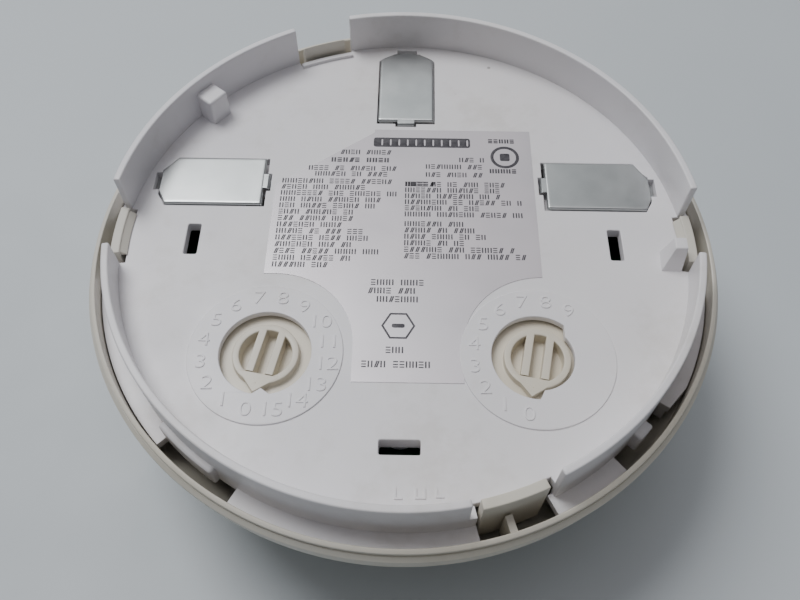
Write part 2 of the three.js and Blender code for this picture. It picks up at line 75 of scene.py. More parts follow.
REAR_TAB_GAP = (103.6, 116.4)
LEFT_TAB_GAP = (173.4, 187.0)
RIGHT_TAB_GAP = (-7.0, 6.6)
FRONT_TAB_GAP = (-78.2, -62.4)
FRONT_FLANGE_GAP = (-76.8, -63.3)
TAB_GAPS = (REAR_TAB_GAP, LEFT_TAB_GAP, RIGHT_TAB_GAP, FRONT_TAB_GAP)
# middle and width in degrees, height above the plate, the top's outward slope, where a lapping ramp starts
RELEASE_TABS = {
    "release_tab_rear": (110.1, 9.8, 3.2, 1.9, None),
    "release_tab_left": (180.0, 11.4, 1.35, 0.0, 174.8),
    "release_tab_right": (0.0, 11.4, 1.35, 0.0, -1.2),
    "release_tab_front": (-70.6, 11.6, 3.8, 0.0, None),
}
TAB_INNER = 45.4
TAB_OUTER = 46.9
TAB_BOTTOM = 24.2

LUG_OPENINGS = ((-135.2, -119.0), (-49.1, -34.7), (44.0, 59.0), (127.0, 142.0))
# start and end angle in degrees, outer radius
LUGS = ((-136.0, -122.8, 47.7), (-45.2, -41.6, 48.05), (45.0, 57.5, 47.9), (128.0, 140.5, 47.9))

DIAL_X, DIAL_Y = 20.28, -21.33
DIAL_HOLE = 6.9
DIAL_SMALL = 5.5
DIAL_ZERO = -101.25
DIGIT_STEP = 22.5
DIGIT_RADIUS = 9.5
DIGIT_HEIGHT = 2.35
DIGIT_RISE = 0.14
DIGIT_ROUNDING = 0.04
DIGIT_THINNING = 0.07
DIGIT_STRETCH = 1.22
CAPITAL_SHARE = 0.73
DIAL_RING = 11.63
DIAL_FACE = PLATE_TOP + 0.25
DIAL_WALL = 1.2
KNOB_DISC_RADIUS = 7.8
KNOB_DISC_BOTTOM = 30.2
KNOB_DISC_TOP = 31.2
KNOB_FLOOR = 30.5
KNOB_TOP = PLATE_TOP - 0.2

CLIP_LENGTH = 17.5
CLIP_HALF = 5.0
CLIP_HOOK_HALF = 1.65
CLIP_TOP = PLATE_TOP + 0.38
# inner end's x and y, turn in degrees, how far each outer corner is cut back along and across
CLIP_PLACES = {
    "contact_clip_left": (-23.95, 11.5, 180, ((2.2, 2.8), (1.2, 2.3))),
    "contact_clip_right": (23.95, 11.5, 0, ((1.0, 2.2), (2.0, 3.2))),
    "contact_clip_rear": (0.0, 26.0, 90, None),
}

LABEL_HALF = 22.0
LABEL_TOP = 23.9
LABEL_SHOULDER = -7.2
LABEL_BOTTOM = -25.9
LABEL_ARC = 12.7

# width, height and place of the slots in the plate
SIDE_SLOT = (2.15, 6.0, 34.4, -0.6)
FRONT_SLOT = (5.9, 2.2, 0.0, -35.8)
BOSS_PLACES = ((27, 27), (-27, 27), (0, -31))


# ---- meshes worked out with numpy -----------------------------------------------------


def make_mesh(vertices, faces):
    """A mesh in millimetres from an (n, 3) array and a list of face arrays, welded and facing outwards."""
    mesh = bpy.data.meshes.new("work")
    mesh.from_pydata(np.asarray(vertices, float).tolist(), [], [list(map(int, f)) for f in faces])
    work = bmesh.new()
    work.from_mesh(mesh)
    bmesh.ops.remove_doubles(work, verts=work.verts, dist=1e-4)
    bmesh.ops.dissolve_degenerate(work, edges=work.edges, dist=1e-5)
    bmesh.ops.recalc_face_normals(work, faces=work.faces)
    work.to_mesh(mesh)
    work.free()
    return mesh


def grid_quads(rows, columns, wrap_rows=False, wrap_columns=False):
    """Quads that join neighbouring points of a rows by columns grid, as an (n, 4) index array."""
    r = np.arange(rows if wrap_rows else rows - 1)
    c = np.arange(columns if wrap_columns else columns - 1)
    r, c = np.meshgrid(r, c, indexing="ij")
    r2, c2 = (r + 1) % rows, (c + 1) % columns
    quads = np.stack([r * columns + c, r * columns + c2, r2 * columns + c2, r2 * columns + c], -1)
    return quads.reshape(-1, 4)


def turned(profile, steps=96):
    """A closed body of revolution: point (r, z) goes to (r cos a, r sin a, z) for every angle a.

    The profile closes on itself, or starts and ends on the axis."""
    profile = np.asarray(profile, float)
    on_axis = profile[0, 0] == 0 and profile[-1, 0] == 0
    angle = np.linspace(0, 2 * np.pi, steps, endpoint=False)
    r, z = profile[:, :1], profile[:, 1:]
    grid = np.stack([r * np.cos(angle), r * np.sin(angle), z + 0 * angle], -1)
    quads = grid_quads(len(profile), steps, wrap_rows=not on_axis, wrap_columns=True)
    return make_mesh(grid.reshape(-1, 3), quads)


def swept(section, path, sideways, upward):
    """A closed bar: section point (s, t) at path point p goes to p + s sideways + t upward. Ends are flat."""
    section, path = np.asarray(section, float), np.asarray(path, float)
    sideways = np.broadcast_to(np.asarray(sideways, float), path.shape)
    upward = np.broadcast_to(np.asarray(upward, float), path.shape)
    s, t = section[:, 0][None, :, None], section[:, 1][None, :, None]
    grid = path[:, None] + s * sideways[:, None] + t * upward[:, None]
    count = len(section)
    faces = list(grid_quads(len(path), count, wrap_columns=True))
    faces += [np.arange(count)[::-1], np.arange(count) + (len(path) - 1) * count]
    return make_mesh(grid.reshape(-1, 3), faces)


def arc_bar(section, start, end, step=1.5):
    """A closed bar that carries an (r, z) section round the Z axis from one angle to another, in degrees."""
    angle = np.radians(np.linspace(start, end, max(3, int(abs(end - start) / step) + 1)))
    outward = np.stack([np.cos(angle), np.sin(angle), 0 * angle], -1)
    return swept(section, 0 * outward, outward, (0, 0, 1))


def box_section(inner, outer, bottom, top):
    return [(inner, bottom), (outer, bottom), (outer, top), (inner, top)]


def filleted(corners, radius, steps=4):
    """The closed outline with each corner replaced by a quadratic curve that starts and ends radius away."""
    corners = np.asarray(corners, float)
    radius = np.broadcast_to(np.asarray(radius, float), len(corners))
    before, after = np.roll(corners, 1, 0) - corners, np.roll(corners, -1, 0) - corners
    reach_in = np.minimum(radius, 0.49 * np.linalg.norm(before, axis=1))[:, None]
    reach_out = np.minimum(radius, 0.49 * np.linalg.norm(after, axis=1))[:, None]
    first = corners + before / np.linalg.norm(before, axis=1)[:, None] * reach_in
    last = corners + after / np.linalg.norm(after, axis=1)[:, None] * reach_out
    t = np.linspace(0, 1, steps + 1)[None, :, None]
    curve = (1 - t) ** 2 * first[:, None] + 2 * t * (1 - t) * corners[:, None] + t**2 * last[:, None]
    return curve.reshape(-1, 2)


def arc_points(centre, radius, start, end, step=3.0):
    """Points on a circle from one angle to another, in degrees."""
    angle = np.radians(np.linspace(start, end, max(2, int(abs(end - start) / step) + 1)))
    return np.stack([centre[0] + radius * np.cos(angle), centre[1] + radius * np.sin(angle)], -1)


def flowing(points, count):
    """An open curve through the points, sampled count times: a Catmull-Rom curve by chord length."""
    points = np.asarray(points, float)
    padded = np.vstack([2 * points[0] - points[1], points, 2 * points[-1] - points[-2]])
    length = np.r_[0, np.cumsum(np.linalg.norm(np.diff(points, axis=0), axis=1))]
    place = np.linspace(0, length[-1], count)
    i = np.clip(np.searchsorted(length, place, side="right") - 1, 0, len(points) - 2)
    t = ((place - length[i]) / (length[i + 1] - length[i]))[:, None]
    a, b, c, d = padded[i], padded[i + 1], padded[i + 2], padded[i + 3]
    return 0.5 * (2 * b + (c - a) * t + (2 * a - 5 * b + 4 * c - d) * t**2 + (3 * b - a - 3 * c + d) * t**3)


def pierced_shell(outer, inner, keep, ends_in_a_point=False):
    """A closed shell between two grids of points that wrap in their second direction.

    keep says which cells stay. Each kept cell gives one outer and one inner face, and wherever a kept
    cell meets a missing one or the grid's edge, a wall face joins the outer grid to the inner one. A grid
    whose last row is a single point needs no wall there."""
    rows, columns = outer.shape[:2]
    offset = rows * columns
    r, c = np.nonzero(keep)
    c2 = (c + 1) % columns
    skin = np.stack([r * columns + c, r * columns + c2, (r + 1) * columns + c2, (r + 1) * columns + c], -1)
    edge = np.zeros((1, columns), bool)
    above, below = np.vstack([edge, keep]), np.vstack([keep, keep[-1:] if ends_in_a_point else edge])
    walls = []
    for one, other, turn in ((above, below, True), (below, above, False)):
        r, c = np.nonzero(one & ~other)
        a, b = r * columns + c, r * columns + (c + 1) % columns
        quad = [a, b, b + offset, a + offset] if turn else [b, a, a + offset, b + offset]
        walls.append(np.stack(quad, -1))
    left = np.roll(keep, 1, 1)
    for one, other, turn in ((left, keep, False), (keep, left, True)):
        r, c = np.nonzero(one & ~other)
        a, b = r * columns + c, (r + 1) * columns + c
        quad = [a, b, b + offset, a + offset] if turn else [b, a, a + offset, b + offset]
        walls.append(np.stack(quad, -1)[:, ::-1])
    faces = np.vstack([skin, skin[:, ::-1] + offset, *[w[:, ::-1] for w in walls]])
    points = np.vstack([outer.reshape(-1, 3), inner.reshape(-1, 3)])
    used, packed = np.unique(faces, return_inverse=True)
    return make_mesh(points[used], packed.reshape(faces.shape))


def prisms(outlines, low, high):
    """Many closed prisms at once: each (k, 2) outline of an (n, k, 2) array stands between two heights."""
    outlines = np.asarray(outlines, float)
    count, corners = outlines.shape[:2]
    ends = [np.concatenate([outlines, np.full((count, corners, 1), z)], -1) for z in (low, high)]
    points = np.stack(ends, 1).reshape(-1, 3)
    first = np.arange(count)[:, None] * 2 * corners
    bottom = first + np.arange(corners)[::-1]
    lid = first + corners + np.arange(corners)
    k, after = np.arange(corners), (np.arange(corners) + 1) % corners
    side = np.stack([k, after, after + corners, k + corners], -1)
    return make_mesh(points, [*bottom, *lid, *(first[:, :, None] + side).reshape(-1, 4)])


def boxes(x0, x1, y0, y1, slant=0.0):
    """Outlines of upright rectangles, or of parallelograms whose top edge is shifted by slant."""
    x0, x1, y0, y1, slant = np.broadcast_arrays(*map(np.atleast_1d, (x0, x1, y0, y1, slant)))
    return np.stack([np.stack([x0, y0], -1), np.stack([x1, y0], -1), np.stack([x1 + slant, y1], -1),
                     np.stack([x0 + slant, y1], -1)], -2).astype(float)


def ribbon(points, width, count=16):
    """The closed outline of a band of constant width along a flowing curve through the points."""
    line = flowing(points, count)
    along = np.gradient(line, axis=0)
    across = np.stack([-along[:, 1], along[:, 0]], -1) / np.linalg.norm(along, axis=1)[:, None] * width / 2
    return np.vstack([line + across, (line - across)[::-1]])


def wire(points, radius, count=14, sides=8):
    """A round wire along a flowing curve; its section keeps square to the curve by projected fixed axes."""
    line = flowing(points, count)
    along = np.gradient(line, axis=0)
    along /= np.linalg.norm(along, axis=1)[:, None]
    span = np.abs(line[-1] - line[0])
    fixed = np.eye(3)[np.argmin(span)]
    side = np.cross(along, fixed)
    side /= np.linalg.norm(side, axis=1)[:, None]
    up = np.cross(side, along)
    angle = np.linspace(0, 2 * np.pi, sides, endpoint=False)
    ring = radius * np.stack([np.cos(angle), np.sin(angle)], -1)
    grid = line[:, None] + ring[None, :, :1] * side[:, None] + ring[None, :, 1:] * up[:, None]
    faces = list(grid_quads(count, sides, wrap_columns=True))
    faces += [np.arange(sides)[::-1], np.arange(sides) + (count - 1) * sides]
    return make_mesh(grid.reshape(-1, 3), faces)


# ---- work on whole meshes ---------------------------------------------------------------


def evaluated(mesh, add_modifiers):
    """The mesh that an object has after its modifiers, which add_modifiers puts on it."""
    carrier = bpy.data.objects.new("work", mesh)
    bpy.context.scene.collection.objects.link(carrier)
    add_modifiers(carrier)
    graph = bpy.context.evaluated_depsgraph_get()
    graph.update()
    result = bpy.data.meshes.new_from_object(carrier.evaluated_get(graph))
    bpy.data.objects.remove(carrier)
    return result


def eased(mesh, width, segments=2, angle=38):
    """The mesh with its sharp edges rounded off to the given width."""

    def add(carrier):
        bevel = carrier.modifiers.new("eased", "BEVEL")
        bevel.width = width
        bevel.segments = segments
        bevel.limit_method = "ANGLE"
        bevel.angle_limit = math.radians(angle)
        bevel.use_clamp_overlap = True
        bevel.harden_normals = False

    return evaluated(mesh, add)


def combine(first, others, operation="UNION"):
    """One closed mesh: the first with every other joined to it or cut from it."""
    tools = []

    def add(carrier):
        for mesh in others:
            tool = bpy.data.objects.new("tool", mesh)
            bpy.context.scene.collection.objects.link(tool)
            tools.append(tool)
            boolean = carrier.modifiers.new("combine", "BOOLEAN")
            boolean.operation = operation
            boolean.solver = "MANIFOLD"
            boolean.object = tool

    result = evaluated(first, add)
    for tool in tools:
        bpy.data.objects.remove(tool)
    return result


def together(meshes):
    """One mesh that holds separate bodies side by side."""
    whole = bmesh.new()
    for mesh in meshes:
        whole.from_mesh(mesh)
    result = bpy.data.meshes.new("work")
    whole.to_mesh(result)
    whole.free()
    return result


def moved(mesh, x=0.0, y=0.0, z=0.0, turn=0.0):
    """A copy turned about the Z axis by degrees, then moved."""
    copy = mesh.copy()
    copy.transform(Matrix.Translation((x, y, z)) @ Matrix.Rotation(math.radians(turn), 4, "Z"))
    return copy


def laid_along_x(mesh, x, y, z):
    """A copy whose Z axis is turned to +X, then moved."""
    copy = mesh.copy()
    copy.transform(Matrix.Translation((x, y, z)) @ Matrix.Rotation(math.radians(90), 4, "Y"))
    return copy


def plate(loops, bottom, top, edge=0.15, rounding=2):
    """A flat plate: an outline and its holes, lifted between two heights, with rounded edges."""
    curve = bpy.data.curves.new("work", "CURVE")
    curve.dimensions = "2D"
    curve.fill_mode = "BOTH"
    for loop in loops:
        spline = curve.splines.new("POLY")
        spline.points.add(len(loop) - 1)
        flat = np.c_[loop, np.zeros(len(loop)), np.ones(len(loop))]
        spline.points.foreach_set("co", flat.ravel())
        spline.use_cyclic_u = True
    curve.extrude = (top - bottom) / 2 - edge
    curve.bevel_depth = edge
    curve.bevel_resolution = rounding
    curve.offset = -edge
    return curve_mesh(curve, (bottom + top) / 2)


def curve_mesh(curve, height):
    """A curve or text made into a closed mesh at the given height."""
    carrier = bpy.data.objects.new("work", curve)
    bpy.context.scene.collection.objects.link(carrier)
    graph = bpy.context.evaluated_depsgraph_get()
    graph.update()
    mesh = bpy.data.meshes.new_from_object(carrier.evaluated_get(graph))
    bpy.data.objects.remove(carrier)
    bpy.data.curves.remove(curve)
    work = bmesh.new()
    work.from_mesh(mesh)
    bmesh.ops.remove_doubles(work, verts=work.verts, dist=1e-4)
    bmesh.ops.dissolve_degenerate(work, edges=work.edges, dist=1e-5)
    bmesh.ops.translate(work, verts=work.verts, vec=(0, 0, height))
    bmesh.ops.recalc_face_normals(work, faces=work.faces)
    work.to_mesh(mesh)
    work.free()
    return mesh


def cuboid(x0, x1, y0, y1, z0, z1):
    corners = [(x0, y0), (x1, y0), (x1, y1), (x0, y1)]
    return swept(corners, [(0, 0, z0), (0, 0, z1)], (1, 0, 0), (0, 1, 0))


def piece(name, mesh, material, body, node=None, sharp=40):
    """The finished object: the mesh in metres at the origin, with its material and its body; the CAD node it
    stands for, if given, is hidden.
    """
    mesh.transform(Matrix.Scale(MM, 4))
    mesh.name = name
    mesh.materials.clear()
    mesh.materials.append(material)
    mesh.polygons.foreach_set("use_smooth", np.ones(len(mesh.polygons), bool))
    mesh.set_sharp_from_angle(angle=math.radians(sharp))
    thing = bpy.data.objects.new(name, mesh)
    bpy.context.scene.collection.objects.link(thing)
    weighted = thing.modifiers.new("weighted", "WEIGHTED_NORMAL")
    weighted.keep_sharp = True
    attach(thing, body)
    if node:
        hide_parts(node)
    return thing


# ---- materials -----------------------------------------------------------------------


def add_node(tree, kind, settings=None, **sockets):
    node = tree.nodes.new(kind)
    for key, value in (settings or {}).items():
        setattr(node, key, value)
    for key, value in sockets.items():
        socket = node.inputs[key.replace("_", " ")]
        if isinstance(value, bpy.types.NodeSocket):
            tree.links.new(value, socket)
        else:
            socket.default_value = value
    return node


def start_material(name, color, roughness, metallic=0.0):
    """A material with its shader, and object coordinates to draw patterns on."""
    material = bpy.data.materials.new(name)
    material.use_nodes = True
    tree = material.node_tree
    shader = tree.nodes["Principled BSDF"]
    shader.inputs["Base Color"].default_value = (*color, 1)
    shader.inputs["Roughness"].default_value = roughness
    shader.inputs["Metallic"].default_value = metallic
    place = tree.nodes.new("ShaderNodeTexCoord").outputs["Object"]
    material.diffuse_color = (*color, 1)
    return material, tree, shader, place


def noise(tree, place, scale, detail=3.0, roughness=0.5):
    node = add_node(tree, "ShaderNodeTexNoise", Vector=place, Scale=scale, Detail=detail, Roughness=roughness)
    return node.outputs["Fac"]


def ramp(tree, source, stops):
    """Turns a number into a colour along the given (place, colour) stops."""
    node = add_node(tree, "ShaderNodeValToRGB", Fac=source)
    node.color_ramp.elements[0].position, node.color_ramp.elements[0].color = stops[0][0], (*stops[0][1], 1)
    node.color_ramp.elements[1].position, node.color_ramp.elements[1].color = stops[-1][0], (*stops[-1][1], 1)
    for position, color in stops[1:-1]:
        node.color_ramp.elements.new(position).color = (*color, 1)
    return node.outputs["Color"]


def spread(tree, source, low, high):
    """Maps a noise value to a range of numbers."""
    node = add_node(tree, "ShaderNodeMapRange", Value=source)
    node.inputs["From Min"].default_value = 0.3
    node.inputs["From Max"].default_value = 0.7
    node.inputs["To Min"].default_value = low
    node.inputs["To Max"].default_value = high
    return node.outputs["Result"]


def bump(tree, shader, height, strength, distance):
    node = add_node(tree, "ShaderNodeBump", Height=height, Strength=strength, Distance=distance)
    tree.links.new(node.outputs["Normal"], shader.inputs["Normal"])


def multiply(tree, first, second):
    node = tree.nodes.new("ShaderNodeMath")
    node.operation = "MULTIPLY"
    tree.links.new(first, node.inputs[0])
    tree.links.new(second, node.inputs[1])
    return node.outputs[0]


def blend_colors(tree, kind, amount, first, second):
    node = tree.nodes.new("ShaderNodeMix")
    node.data_type = "RGBA"
    node.blend_type = kind
    for socket, value in ((node.inputs[0], amount), (node.inputs[6], first), (node.inputs[7], second)):
        if isinstance(value, bpy.types.NodeSocket):
            tree.links.new(value, socket)
        elif isinstance(value, tuple):
            socket.default_value = (*value, 1)
        else:
            socket.default_value = value
    return node.outputs[2]


def shade(color, factor):
    return tuple(min(1.0, c * factor) for c in color)


def moulded_plastic(name, color, roughness=0.42, grime=0.0, tint=(1.0, 0.98, 0.94)):
    """Moulded plastic: fine spark-eroded grain, slow tone changes, handling marks and a few specks."""
    material, tree, shader, place = start_material(name, color, roughness)
    slow = noise(tree, place, 60, 4)
    tone = ramp(tree, slow, [(0.3, shade(color, 0.965)), (0.7, shade(color, 1.02))])
    warm = ramp(tree, noise(tree, place, 22, 2), [(0.35, (1, 1, 1)), (0.75, tint)])
    tone = blend_colors(tree, "MULTIPLY", 1.0, tone, warm)
    if grime:
        smear = multiply(tree, noise(tree, place, 260, 6, 0.62), noise(tree, place, 45, 2))
        dirt = ramp(tree, smear, [(0.27, (1, 1, 1)), (0.40, (0.84, 0.83, 0.80))])
        tone = blend_colors(tree, "MULTIPLY", grime, tone, dirt)
        speck = add_node(tree, "ShaderNodeTexVoronoi", Vector=place, Scale=150.0)
        dots = ramp(tree, speck.outputs["Distance"], [(0.035, (0.25, 0.22, 0.2)), (0.06, (1, 1, 1))])
        sparse = ramp(tree, noise(tree, place, 35, 1), [(0.60, (0, 0, 0)), (0.66, (1, 1, 1))])
        tone = blend_colors(tree, "MULTIPLY", sparse, tone, dots)
    tree.links.new(tone, shader.inputs["Base Color"])
    tree.links.new(spread(tree, noise(tree, place, 140, 3), roughness - 0.05, roughness + 0.07),
                   shader.inputs["Roughness"])
    shader.inputs["IOR"].default_value = 1.5
    shader.inputs["Subsurface Weight"].default_value = 0.06
    shader.inputs["Subsurface Radius"].default_value = (0.0012, 0.001, 0.0008)
    bump(tree, shader, noise(tree, place, 5200, 2), 0.06, 0.00004)
    return material


WHITE = moulded_plastic("white_polycarbonate", (0.81, 0.795, 0.82), 0.40, grime=0.5)
IVORY = moulded_plastic("ivory_polycarbonate", (0.66, 0.63, 0.56), 0.42, grime=0.35, tint=(1.0, 0.97, 0.90))
DIAL_IVORY = moulded_plastic("dial_nylon", (0.70, 0.65, 0.545), 0.38, tint=(1.0, 0.96, 0.88))
CHAMBER_BLACK = moulded_plastic("chamber_black", (0.018, 0.018, 0.019), 0.55)
EPOXY_BLACK = moulded_plastic("component_epoxy", (0.03, 0.03, 0.032), 0.5)


def tinned_sheet():
    """Tinned spring sheet: cool grey, with drawn lines and faint cloudy patches of tin."""
    material, tree, shader, place = start_material("tinned_sheet", (0.60, 0.62, 0.62), 0.28, 1.0)
    cloud = noise(tree, place, 170, 5, 0.6)
    color = ramp(tree, cloud, [(0.2, (0.48, 0.50, 0.50)), (0.8, (0.57, 0.585, 0.58))])
    tree.links.new(color, shader.inputs["Base Color"])
    stretched = add_node(tree, "ShaderNodeMapping", Vector=place, Scale=(1.0, 14.0, 1.0))
    lines = noise(tree, stretched.outputs["Vector"], 420, 3)
    tree.links.new(spread(tree, cloud, 0.29, 0.37), shader.inputs["Roughness"])
    bump(tree, shader, lines, 0.10, 0.00004)
    return material


def bare_metal(name, color, roughness, cloudiness=200):
    """Plated or drawn metal with a slightly uneven sheen."""
    material, tree, shader, place = start_material(name, color, roughness, 1.0)
    cloud = noise(tree, place, cloudiness, 4)
    tree.links.new(ramp(tree, cloud, [(0.3, shade(color, 0.88)), (0.7, shade(color, 1.08))]),
                   shader.inputs["Base Color"])
    tree.links.new(spread(tree, cloud, roughness - 0.06, roughness + 0.1), shader.inputs["Roughness"])
    bump(tree, shader, noise(tree, place, 2600, 2), 0.08, 0.00003)
    return material


def label_film():
    """Metallised film with a satin face: silvery pink, slow bands of tone and very fine grain."""
    color = (0.60, 0.565, 0.59)
    material, tree, shader, place = start_material("label_film", color, 0.34, 0.45)
    slow = noise(tree, place, 28, 2)
    tone = ramp(tree, slow, [(0.3, (0.58, 0.56, 0.58)), (0.5, color), (0.7, (0.63, 0.57, 0.60))])
    tree.links.new(tone, shader.inputs["Base Color"])
    tree.links.new(spread(tree, noise(tree, place, 120, 3), 0.30, 0.42), shader.inputs["Roughness"])
    bump(tree, shader, noise(tree, place, 3200, 2), 0.05, 0.00002)
    return material


def printing_ink():
    """Matt dark ink that has worn a little thin in places."""
    material, tree, shader, place = start_material("printing_ink", (0.06, 0.055, 0.065), 0.5)
    worn = noise(tree, place, 1500, 4)
    tree.links.new(ramp(tree, worn, [(0.35, (0.03, 0.027, 0.034)), (0.75, (0.09, 0.083, 0.095))]),
                   shader.inputs["Base Color"])
    tree.links.new(spread(tree, worn, 0.42, 0.6), shader.inputs["Roughness"])
    return material


TINNED = tinned_sheet()
LABEL = label_film()
INK = printing_ink()


def bench_top():
    """Smooth pale grey-blue laminate."""
    material, tree, shader, place = start_material("bench_top", (0.56, 0.60, 0.63), 0.55)
    tone = ramp(tree, noise(tree, place, 9, 3), [(0.3, (0.545, 0.585, 0.61)), (0.7, (0.575, 0.615, 0.64))])
    tree.links.new(tone, shader.inputs["Base Color"])
    tree.links.new(spread(tree, noise(tree, place, 60, 3), 0.5, 0.62), shader.inputs["Roughness"])
    bump(tree, shader, noise(tree, place, 900, 3), 0.05, 0.0001)
    return material


# ---- camera, floor and lights ----------------------------------------------------------


CAMERA_TARGET = (-0.369, -11.739, PLATE_TOP)
CAMERA_DISTANCE = 122.69
CAMERA_AZIMUTH = 0.928
CAMERA_ELEVATION = 58.346
CAMERA_ROLL = 0.143
SENSOR_WIDTH = 36.0
LENS = 35.595
FLOOR_HALF = 1.5


def aim_camera():
    """A camera 123 mm from the plate, looking down at it at 58 degrees from the dial side."""
    azimuth, elevation, roll = (math.radians(a) for a in (CAMERA_AZIMUTH, CAMERA_ELEVATION, CAMERA_ROLL))
    target = Vector(CAMERA_TARGET) * MM
    back = Vector((
        math.sin(azimuth) * math.cos(elevation),
        -math.cos(azimuth) * math.cos(elevation),
        math.sin(elevation),
    ))
    right = (-back).cross(Vector((0, 0, 1))).normalized()
    up = right.cross(-back)
    tilted_right = right * math.cos(roll) + up * math.sin(roll)
    tilted_up = up * math.cos(roll) - right * math.sin(roll)
    data = bpy.data.cameras.new("camera")
    data.sensor_width = SENSOR_WIDTH
    data.lens = LENS
    data.clip_start = 0.005
    camera = bpy.data.objects.new("camera", data)
    turn = Matrix((tilted_right, tilted_up, back)).transposed().to_4x4()
    camera.matrix_world = Matrix.Translation(target + back * CAMERA_DISTANCE * MM) @ turn
    bpy.context.scene.collection.objects.link(camera)
    bpy.context.scene.camera = camera


def lay_floor():
    mesh = bpy.data.meshes.new("floor")
    corners = [(x * FLOOR_HALF, y * FLOOR_HALF, 0) for x, y in ((-1, -1), (1, -1), (1, 1), (-1, 1))]
    mesh.from_pydata(corners, [], [(0, 1, 2, 3)])
    mesh.materials.append(bench_top())
    floor = bpy.data.objects.new("floor", mesh)
    bpy.context.scene.collection.objects.link(floor)


def soft_light(name, place, aim, size, power, color):
    data = bpy.data.lights.new(name, "AREA")
    data.shape = "DISK"
    data.size = size
    data.energy = power
    data.color = color
    light = bpy.data.objects.new(name, data)
    light.location = place
    light.rotation_euler = (Vector(aim) - Vector(place)).to_track_quat("-Z", "Y").to_euler()
    bpy.context.scene.collection.objects.link(light)


def light_scene():
    """A soft window high behind the part, a pale wall that its metal reflects, a ceiling and a dim room."""
    soft_light("window", (-0.36, 0.31, 0.88), (0, 0, 0.03), 0.50, 6.5, (0.97, 0.985, 1.0))
    soft_light("pale_wall", (-0.24, 1.0, 0.95), (0, 0, 0.03), 1.3, 2.7, (0.93, 0.98, 1.0))
    soft_light("ceiling", (0.0, 0.2, 1.3), (0, 0, 0.03), 1.1, 2.9, (1.0, 0.96, 0.99))
    world = bpy.data.worlds.new("room")
    world.use_nodes = True
    world.node_tree.nodes["Background"].inputs["Color"].default_value = (0.92, 0.95, 1.0, 1)
    world.node_tree.nodes["Background"].inputs["Strength"].default_value = 0.16
    bpy.context.scene.world = world


aim_camera()
lay_floor()
light_scene()


# ---- front cover -------------------------------------------------------------------------

VENT_COUNT = 24
VENT_SPAN = 12.2
# heights of the grid's rows down the vented band, and which of the rows between them are open
VENT_ROWS = (14.7, 14.0, 12.4, 10.8, 10.0, 9.2, 7.6, 6.0, 5.6)
VENT_OPEN = (False, True, True, False, False, True, True, False)
LIGHT_PIPE_X = 41.5
LIGHT_HOLE_RADIUS = 1.8


def cover_profiles():
    """The cover's outer and inner (r, z) lines, from the rim down to the middle, with matching rows.

    Corners are rounded in the lines themselves."""
    groove, top = 49.9, RIM_TOP
    rim = [(49.7, top), (50.0, top - 0.05), (50.22, top - 0.2), (50.3, top - 0.5),
           (groove + 0.05, top - 0.6), (groove, top - 0.8), (groove + 0.05, top - 0.98)]
    bulge = flowing([(50.4, top - 1.05), (50.78, top - 1.4), (COVER_RADIUS, top - 2.1), (50.85, top - 3.1),
                     (50.1, 24.4), (48.3, 22.1), (46.2, 19.8), (44.2, 17.8), (42.0, 16.3), (39.6, 15.5),
                     (37.3, 15.1)], 26)
    vent_outer = [(36.9, z) for z in VENT_ROWS]
    nose = flowing([(37.25, 5.35), (37.5, 4.9), (37.2, 3.2), (35.0, 1.35), (31.6, 0.32), (28.0, 0.0)], 16)
    face = [(r, 0.0) for r in (24.0, 16.0, 8.0, 0.0)]
    outer = np.vstack([rim, bulge, vent_outer, nose, face])
    throat = [(RIM_INNER + 0.2, RIM_TOP), (RIM_INNER + 0.06, RIM_TOP - 0.06), (RIM_INNER, RIM_TOP - 0.2)]
    throat += [(RIM_INNER, z) for z in (28.0, 27.2, 26.4, 25.7)]
    bowl = flowing([(49.1, 25.4), (48.5, 24.3), (47.0, 22.4), (45.0, 20.2), (43.2, 18.6),
                    (41.2, 17.6), (38.8, 17.1), (36.3, 16.8), (35.3, 16.0)], 26)
    vent_inner = [(35.1, z) for z in VENT_ROWS]
    well = flowing([(35.1, 5.2), (34.9, 4.0), (33.4, 2.7), (30.0, 1.95), (28.0, 1.85)], 16)
    back = [(r, 1.8) for r in (24.0, 16.0, 8.0, 0.0)]
    inner = np.vstack([throat, bowl, vent_inner, well, back])
    return outer, inner, len(rim) + len(bulge)


def cover_columns():
    """Angles of the grid's columns, 2 across each rib and 8 across each window, and which are windows."""
    pitch = 360 / VENT_COUNT
    rib = pitch - VENT_SPAN
    on_rib = np.linspace(0, rib, 2, endpoint=False)
    on_window = np.linspace(rib, pitch, 8, endpoint=False)
    across = np.r_[on_rib, on_window] - rib / 2
    angles = (np.arange(VENT_COUNT)[:, None] * pitch + across).ravel()
    window = np.tile([False] * 2 + [True] * 8, VENT_COUNT)
    return np.radians(angles), window


def front_tab_web():
    """Three-cornered rib between the front tab and the rim: its side outline carried across 1.1 mm."""
    inner, outer = TAB_OUTER + 0.3, RIM_INNER + 0.3
    low = TAB_BOTTOM + 0.5
    side = [(inner, low), (outer, low), (outer, RIM_TOP - 0.3), (inner, PLATE_TOP - 0.5)]
    rib = eased(swept(side, [(0, -0.55, 0), (0, 0.55, 0)], (1, 0, 0), (0, 0, 1)), 0.12, 2)
    return moved(rib, turn=RELEASE_TABS["release_tab_front"][0] - 1.2)


def flange_rests():
    """Six short shelves inside the rim that carry the housing's flange."""
    shelf = box_section(48.2, RIM_INNER + 0.2, 25.2, FLANGE_BOTTOM - 0.3)
    return [arc_bar(shelf, angle, angle + 3) for angle in (20, 80, 152, 203, 254, 336)]


